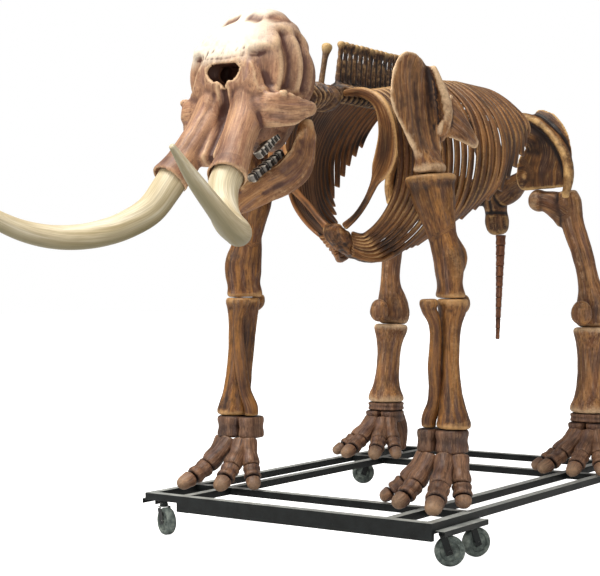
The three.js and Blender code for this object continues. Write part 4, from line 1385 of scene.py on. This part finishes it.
# %% Castor parts
def lathe(name, profile, steps):
    """Spins a profile of (radius, along) points, in mm, round the X axis."""
    bm = bmesh.new()
    dots = [bm.verts.new((along * MM, 0, radius * MM)) for radius, along in profile]
    edges = [bm.edges.new(two) for two in zip(dots, dots[1:] + dots[:1])]
    bmesh.ops.spin(bm, geom=dots + edges, cent=(0, 0, 0), axis=(1, 0, 0), angle=2 * math.pi,
                   steps=steps, use_merge=True)
    bmesh.ops.remove_doubles(bm, verts=bm.verts, dist=0.00001)
    bmesh.ops.recalc_face_normals(bm, faces=bm.faces)
    return mesh_from(bm, name)


WHEEL, TRAIL = 84, 34  # radius of the wheel, and how far its axle lies behind the swivel
LEG_AT, LEG_LEAN, BRIDGE_AT = 34, 0.33, 170.8
wheel_mesh = lathe("castor_wheel", [
    (10.5, -24), (26, -24), (30, -18), (52, -17), (56, -26), (70, -28), (79, -24), (WHEEL, -13),
    (WHEEL, 13), (79, 24), (70, 28), (56, 26), (52, 17), (30, 18), (26, 24), (10.5, 24)], 48)


def fork_mesh():
    bm = bmesh.new()

    def slab(size, place, turn=None):
        form = Matrix.Translation(Vector(place) * MM) @ (turn or Matrix.Identity(4))
        made = bmesh.ops.create_cube(bm, size=1, matrix=form @ Matrix.Diagonal(
            (*[s * MM for s in size], 1)))["verts"]
        bmesh.ops.bevel(bm, geom=edges_of(made), offset=1.5 * MM, affect="EDGES", segments=2,
                        profile=0.5, material=-1)

    lean = Matrix.Rotation(LEG_LEAN, 4, "X")
    for side in (-1, 1):
        slab((4, 40, 106), (side * LEG_AT, TRAIL * 0.5, 116), lean)
    slab((72, 50, 3.6), (0, 0, BRIDGE_AT))
    for radius, low, high in ((26, 172, 190), (22, 190, 197)):
        form = Matrix.Translation((0, 0, (low + high) / 2 * MM))
        bmesh.ops.create_cone(bm, cap_ends=True, segments=32, radius1=radius * MM,
                              radius2=radius * MM, depth=(high - low) * MM, matrix=form)
    axle = Matrix.Translation((0, TRAIL * MM, WHEEL * MM)) @ Matrix.Rotation(math.pi / 2, 4, "Y")
    bmesh.ops.create_cone(bm, cap_ends=True, segments=24, radius1=8 * MM, radius2=8 * MM,
                          depth=78 * MM, matrix=axle)
    return mesh_from(bm, "castor_fork")


# %% [markdown]
# The one fork and the one wheel are copied to the five places that the frame's joints give,
# and turned to each wheel's own axle. The place goes into the mesh, so every piece stays at
# the origin and rides on its own body.

# %% Place the castors
yoke_mesh = fork_mesh()
joints = {j["name"]: j for j in frame["joints"]}
for name in sorted(n for n in frame["bodies"] if n.endswith("_wheel")):
    stem = name[:-len("_castor_wheel")]
    swivel, roll = joints[stem + "_swivel"], joints[stem + "_roll"]
    axis = Vector(roll["axis"])
    turn = Matrix.Rotation(math.atan2(axis.y, axis.x), 4, "Z")
    pivot = Matrix.Translation((swivel["pos_m"][0], swivel["pos_m"][1], 0))
    hub = Matrix.Translation(Vector(roll["pos_m"]))
    for mesh, place, label, body, paint, slot in (
            (yoke_mesh, pivot, "castor_yoke", stem + "_castor_fork", PAINT, "black_steel"),
            (wheel_mesh, hub, "castor_tyre", stem + "_castor_wheel", RUBBER, "wheel_rubber")):
        part = in_scene(f"{stem}_{label}", mesh.copy())
        part.data.transform(place @ turn)
        rest_on_trolley(part, paint, body, body=body)
        part.data.polygons.foreach_set("use_smooth", [False] * len(part.data.polygons))

# %% [markdown]
# ## Floor, light and camera
# A plain pale floor keeps the eye on the bones. It has to look white without throwing much
# light up at them, so it glows white for the camera alone.

# %% Floor
floor_bm = bmesh.new()
bmesh.ops.create_grid(floor_bm, x_segments=2, y_segments=2, size=40)
floor = in_scene("floor", mesh_from(floor_bm, "floor"))
pale, pale_tree, pale_shader = new_material("pale_floor", 0.9)
soft_grain = speckle(pale_tree, own_place(pale_tree), 3)
pale_tree.links.new(ramp(pale_tree, soft_grain, (0.3, tint(244, 244, 244)),
                         (0.7, tint(250, 250, 250))), pale_shader.inputs["Base Color"])
pale_shader.inputs["Emission Color"].default_value = (1, 1, 1, 1)
lit = node(pale_tree, "ShaderNodeLightPath").outputs["Is Camera Ray"]
pale_tree.links.new(sum_of(pale_tree, "MULTIPLY", lit, 1.0),
                    pale_shader.inputs["Emission Strength"])
floor.data.materials.append(pale)

# %% [markdown]
# The light is that of an overcast day: a soft sky, a wide panel above that stands in for its
# bright part, and weaker panels in front and beside. A sky bright enough to look white would
# wash the bones out, so the camera alone sees a brighter one.

# %% Light
world = bpy.data.worlds.new("sky")
bpy.context.scene.world = world
world.use_nodes = True
sky = world.node_tree
soft_light = sky.nodes["Background"]
soft_light.inputs[0].default_value = (1.0, 0.98, 0.95, 1)
soft_light.inputs[1].default_value = 0.42
backdrop = node(sky, "ShaderNodeBackground")
backdrop.inputs[0].default_value = (1, 1, 1, 1)
backdrop.inputs[1].default_value = 1.0
seen = node(sky, "ShaderNodeLightPath").outputs["Is Camera Ray"]
either = node(sky, "ShaderNodeMixShader")
for source, socket in ((seen, 0), (soft_light.outputs[0], 1), (backdrop.outputs[0], 2)):
    sky.links.new(source, either.inputs[socket])
sky.links.new(either.outputs[0], sky.nodes["World Output"].inputs[0])


def panel(name, place, size, power):
    """A round area light that is turned to the middle of the skeleton."""
    light = bpy.data.lights.new(name, "AREA")
    light.shape, light.size, light.energy = "DISK", size, power
    light.color = (1.0, 0.97, 0.92)
    lamp = in_scene(name, light)
    lamp.location = place
    lamp.rotation_euler = (middle - Vector(place)).to_track_quat("-Z", "Y").to_euler()


middle = (CAD_BOX[0] + CAD_BOX[1]) / 2
panel("sky_panel", (-1.0, -2.5, 8.0), 5.0, 560)
panel("front_panel", (-4.0, -9.0, 5.0), 4.0, 250)
panel("side_panel", (8.0, -4.5, 3.0), 4.0, 130)

# %% [markdown]
# The camera stands ahead and to the left at a standing person's eye height, and looks nearly
# level through a long lens. Its three angles are turned into three directions, which fill its
# matrix.

# %% Camera
AZIMUTH, PITCH_DEG, ROLL, LENS = 35.45, -0.53, -0.31, 87.15
EYE_PLACE = (4.9995, FRONT - 6.7918, 1.60)
FILM_WIDTH = 36
azimuth, pitch, roll = (math.radians(a) for a in (AZIMUTH, PITCH_DEG, ROLL))
level = Vector((math.cos(azimuth), math.sin(azimuth), 0))
ahead = Vector((-math.sin(azimuth), math.cos(azimuth), 0))
up = Vector((0, 0, 1))
look = ahead * math.cos(pitch) + up * math.sin(pitch)
lift = up * math.cos(pitch) - ahead * math.sin(pitch)
right = level * math.cos(roll) + lift * math.sin(roll)
top = lift * math.cos(roll) - level * math.sin(roll)
eye = in_scene("camera", bpy.data.cameras.new("camera"))
facing = Matrix((right, top, -look)).transposed().to_4x4()
eye.matrix_world = Matrix.Translation(EYE_PLACE) @ facing
eye.data.lens, eye.data.sensor_width = LENS, FILM_WIDTH
bpy.context.scene.camera = eye
bpy.context.scene.view_settings.view_transform = "Standard"

# %% [markdown]
# ## Sizes
# The box of the CAD model is written down. How far each bone leaves its own CAD box was printed as
# it was finished.

# %% Print the CAD box
print("CAD box", [tuple(round(v, 3) for v in c) for c in CAD_BOX])
